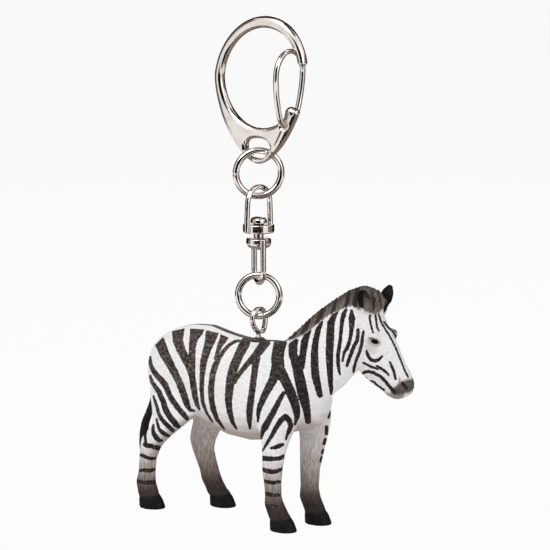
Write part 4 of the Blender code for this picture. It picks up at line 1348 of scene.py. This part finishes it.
def ringLine(ring):
    radius = (ring["diameter"] - ringShape["wire"]) / 2
    half = math.degrees(ringShape["split"] / 2 / radius)
    turns = np.radians(np.linspace(ring["split"] + half, ring["split"] + 360 - half, ringShape["steps"]))
    return np.stack((radius * np.cos(turns), turns * 0, radius * np.sin(turns) - radius), axis=1)


for which in ("upper", "lower"):
    ring, body = ringShape[which], f"{which}_ring"
    ringMesh = wireMesh(f"{which} ring wire", ringLine(ring), ringShape["wire"] / 2)
    placeWire(f"{which}_jump_ring", ringMesh, body, body, ring["top"], ring["yaw"])
print("jump rings made")

# Gate: the bent wire's feet, legs and arched end, from near foot to far foot
gateShape = {
    "wire": 1.2,
    "foot": (7.5, -20.2),
    "rise": (0.9867, 15.7),
    "loopWidth": 9.8,
    "lean": 0.5,
    "hookThickness": 2.3,
    "sideGap": 0.3,
    "footDepth": 0.75,
    "legSteps": 8,
    "archSteps": 7,
}


def gateLine():
    rise = np.array((gateShape["rise"][0], 0, gateShape["rise"][1]))
    length = np.linalg.norm(rise)
    half = gateShape["loopWidth"] / 2
    straight = length - half
    legPlace = gateShape["hookThickness"] / 2 + gateShape["sideGap"] + gateShape["wire"] / 2
    bend = gateShape["wire"] * 0.6
    side = [(gateShape["hookThickness"] / 2 - gateShape["footDepth"], 0), (legPlace - bend, 0)]
    side += [(legPlace - bend * 0.3, bend * 0.3)]
    for i in range(1, gateShape["legSteps"] + 1):
        a = math.pi / 2 * i / gateShape["legSteps"]
        side.append((legPlace + (half - legPlace) * math.sin(a) ** 0.8, straight * a / (math.pi / 2)))
    for i in range(1, gateShape["archSteps"] + 1):
        a = math.pi / 2 * i / gateShape["archSteps"]
        side.append((half * math.cos(a), straight + half * math.sin(a)))
    lean = gateShape["lean"] / length
    near = [rise / length * up + np.array((0, -out - lean * up, 0)) for out, up in side]
    far = [rise / length * up + np.array((0, out - lean * up, 0)) for out, up in side]
    return smoothLine(near + far[-2::-1], 6)


gateFoot = gateShape["foot"]
gateMesh = wireMesh("gate wire", gateLine(), gateShape["wire"] / 2)
placeWire("gate_spring_wire", gateMesh, "gate", "gate_wire", gateFoot[1], across=gateFoot[0])
print("gate made")

# Screw eye: shank with its thread in the moulding, bend and pigtail loop
screwShape = {
    "wire": 1.1,
    "top": -60.35,
    "yaw": 266,
    "radius": 2.15,
    "start": -70,
    "end": 268,
    "aside": 0.95,
    "stem": 1.0,
    "drawn": 0.22,
    "pinch": 0.16,
    "shank": 5.0,
    "pitch": 0.9,
    "thread": 0.09,
    "plain": 0.3,
    "sides": 24,
    "steps": (110, 14, 90),
}


# The loop first, then the bend under it, then the stem and the shank
def screwLine():
    radius = screwShape["radius"]
    start, end = math.radians(screwShape["start"]), math.radians(screwShape["end"])
    bend = radius * math.cos(start) / (1 - math.cos(-start))
    drop = radius - radius * math.sin(start) + bend * math.sin(-start)
    loopSteps, bendSteps, shankSteps = screwShape["steps"]
    points = []
    for share in np.linspace(1, 0, loopSteps):
        a = start + (end - start) * share
        aside = screwShape["aside"] * max(share - 0.75, 0) * 4
        points.append((radius * math.cos(a), aside, radius * math.sin(a) - radius))
    for share in np.linspace(0, 1, bendSteps)[1:]:
        a = -start * (1 - share)
        points.append((bend * (1 - math.cos(a)), 0, bend * math.sin(a) - drop))
    foot = drop + screwShape["stem"] + screwShape["shank"]
    for z in np.linspace(drop, foot, shankSteps)[1:]:
        points.append((0, 0, -z))
    points = np.array(points)
    below = np.clip(-radius - points[:, 2], 0, radius)
    points[:, 2] -= below * screwShape["drawn"]
    points[:, 0] *= 1 - ease(below, 0, radius) * screwShape["pinch"]
    return points


def screwThread(line):
    reached = np.linalg.norm(np.diff(line, axis=0), axis=1).sum()
    begins = reached - screwShape["shank"] + screwShape["plain"]

    def ridge(along, turns):
        if along < begins:
            return 0
        return screwShape["thread"] * np.abs(np.cos(math.pi * along / screwShape["pitch"] + turns / 2)) ** 3
    return ridge


screwPoints = screwLine()
screwMesh = wireMesh(
    "screw eye wire", screwPoints, screwShape["wire"] / 2, screwShape["sides"], ridge=screwThread(screwPoints)
)
placeWire("screw_eye_wire", screwMesh, "figure", "screw_eye", screwShape["top"], screwShape["yaw"])
print("screw eye made")

# Studio: a pale floor, a white surround, soft lamps, and dark cards that only the metal sees
studio = {
    "floorDrop": 40.0,
    "floorSize": 9.0,
    "floor": "#f4f3f1",
    "floorGlow": 0.88,
    "surround": 0.62,
    "lamps": {
        "key": {"turn": -5, "tilt": 50, "away": 0.7, "size": 0.5, "power": 2.0},
        "fill": {"turn": 80, "tilt": 20, "away": 0.8, "size": 0.5, "power": 0.7},
        "back": {"turn": 200, "tilt": 40, "away": 0.8, "size": 0.4, "power": 0.8},
    },
    "cards": {
        "front": {"turn": 26, "tilt": -2, "away": 0.4, "width": 0.62, "height": 0.6, "tone": "#151211"},
        "above": {"turn": 80, "tilt": 72, "away": 0.4, "width": 0.22, "height": 0.22, "tone": "#1d1917"},
        "left": {"turn": -100, "tilt": 0, "away": 0.4, "width": 0.5, "height": 0.8, "tone": "#1d1917"},
        "right": {"turn": 172, "tilt": 0, "away": 0.4, "width": 0.36, "height": 0.8, "tone": "#1d1917"},
        "over": {"turn": 215, "tilt": 60, "away": 0.4, "width": 0.7, "height": 0.36, "tone": "#1d1917"},
        "leftSoft": {"turn": -88, "tilt": 0, "away": 0.43, "width": 0.86, "height": 0.7, "tone": "#857c75"},
        "rightSoft": {"turn": 145, "tilt": -8, "away": 0.43, "width": 0.8, "height": 0.5, "tone": "#857c75"},
    },
    "lowCards": {
        "low": {"at": (-0.12, 0.15), "half": 0.06, "rise": 0.008, "tone": "#1d1917"},
        "lowFront": {"at": (0.13, -0.11), "half": 0.09, "rise": 0.008, "tone": "#1d1917"},
        "lowSoft": {"at": (-0.02, 0.12), "half": 0.2, "rise": 0.006, "tone": "#857c75"},
    },
    "middle": (0.004, 0.0, -0.055),
}


floorLevel = cadBox[0][2] - studio["floorDrop"] * mm


# A lamp or card that stands round the object and faces it
def placed(name, data, setup):
    turn, tilt = math.radians(setup["turn"]), math.radians(setup["tilt"])
    out = Vector((math.sin(turn) * math.cos(tilt), -math.cos(turn) * math.cos(tilt), math.sin(tilt)))
    made = addObject(name, data)
    made.location = Vector(studio["middle"]) + out * setup["away"]
    made.rotation_euler = out.to_track_quat("Z", "Y").to_euler()
    return made


def makeLamps():
    for name, setup in studio["lamps"].items():
        data = bpy.data.lights.new(name, "AREA")
        data.size = setup["size"]
        data.energy = setup["power"]
        placed(f"{name}_lamp", data, setup)


def flatMesh(name, w, h, z=0.0):
    mesh = bpy.data.meshes.new(name)
    mesh.from_pydata([(-w, -h, z), (w, -h, z), (w, h, z), (-w, h, z)], [], [(0, 1, 2, 3)])
    return mesh


# A card that only mirror rays meet
def hideCard(card, tone):
    look, _, _, shader = startMaterial(card.name)
    shader.inputs["Base Color"].default_value = (*colour(tone), 1)
    shader.inputs["Roughness"].default_value = 1.0
    shader.inputs["Specular IOR Level"].default_value = 0.0
    card.data.materials.append(look)
    card.visible_camera = False
    card.visible_diffuse = False
    card.visible_shadow = False
    card.visible_transmission = False


def makeCards():
    for name, setup in studio["cards"].items():
        mesh = flatMesh(f"{name} card", setup["width"] / 2, setup["height"] / 2)
        hideCard(placed(f"{name}_card", mesh, setup), setup["tone"])
    for name, setup in studio["lowCards"].items():
        card = addObject(f"{name}_card", flatMesh(f"{name} card", setup["half"], setup["half"]))
        card.location = (*setup["at"], floorLevel + setup["rise"])
        hideCard(card, setup["tone"])


pureWhite = (1, 1, 1, 1)


# Share of rays that should see plain white: the camera's, mirror ones and those through glass
def addWhiteRays(nodes, links):
    path = addNode(nodes, "ShaderNodeLightPath")
    seen = addMath(nodes, links, "MAXIMUM", path.outputs["Is Camera Ray"], path.outputs["Is Glossy Ray"])
    return addMath(nodes, links, "MAXIMUM", seen, path.outputs["Is Transmission Ray"])


def makeFloor():
    look = bpy.data.materials.new("pale floor")
    look.use_nodes = True
    nodes, links = look.node_tree.nodes, look.node_tree.links
    nodes.clear()
    matt = addNode(nodes, "ShaderNodeBsdfDiffuse", inputs={"Color": (*colour(studio["floor"]), 1)})
    glow = addNode(nodes, "ShaderNodeEmission", inputs={"Color": pureWhite, "Strength": 1.0})
    blend = addNode(nodes, "ShaderNodeMixShader")
    share = addMath(nodes, links, "MULTIPLY", addWhiteRays(nodes, links), studio["floorGlow"])
    links.new(share, blend.inputs[0])
    links.new(matt.outputs[0], blend.inputs[1])
    links.new(glow.outputs[0], blend.inputs[2])
    out = addNode(nodes, "ShaderNodeOutputMaterial")
    links.new(blend.outputs[0], out.inputs["Surface"])
    half = studio["floorSize"] / 2
    mesh = flatMesh("floor", half, half, floorLevel)
    mesh.materials.append(look)
    addObject("floor", mesh)


def makeWorld():
    world = bpy.data.worlds.new("white surround")
    bpy.context.scene.world = world
    world.use_nodes = True
    nodes, links = world.node_tree.nodes, world.node_tree.links
    nodes.clear()
    soft = addNode(nodes, "ShaderNodeBackground", inputs={"Color": pureWhite, "Strength": studio["surround"]})
    plain = addNode(nodes, "ShaderNodeBackground", inputs={"Color": pureWhite, "Strength": 1.0})
    blend = addNode(nodes, "ShaderNodeMixShader")
    links.new(addWhiteRays(nodes, links), blend.inputs[0])
    links.new(soft.outputs[0], blend.inputs[1])
    links.new(plain.outputs[0], blend.inputs[2])
    out = addNode(nodes, "ShaderNodeOutputWorld")
    links.new(blend.outputs[0], out.inputs["Surface"])


makeLamps()
makeCards()
makeFloor()
makeWorld()
bpy.context.scene.view_settings.view_transform = "Standard"
print("studio set")
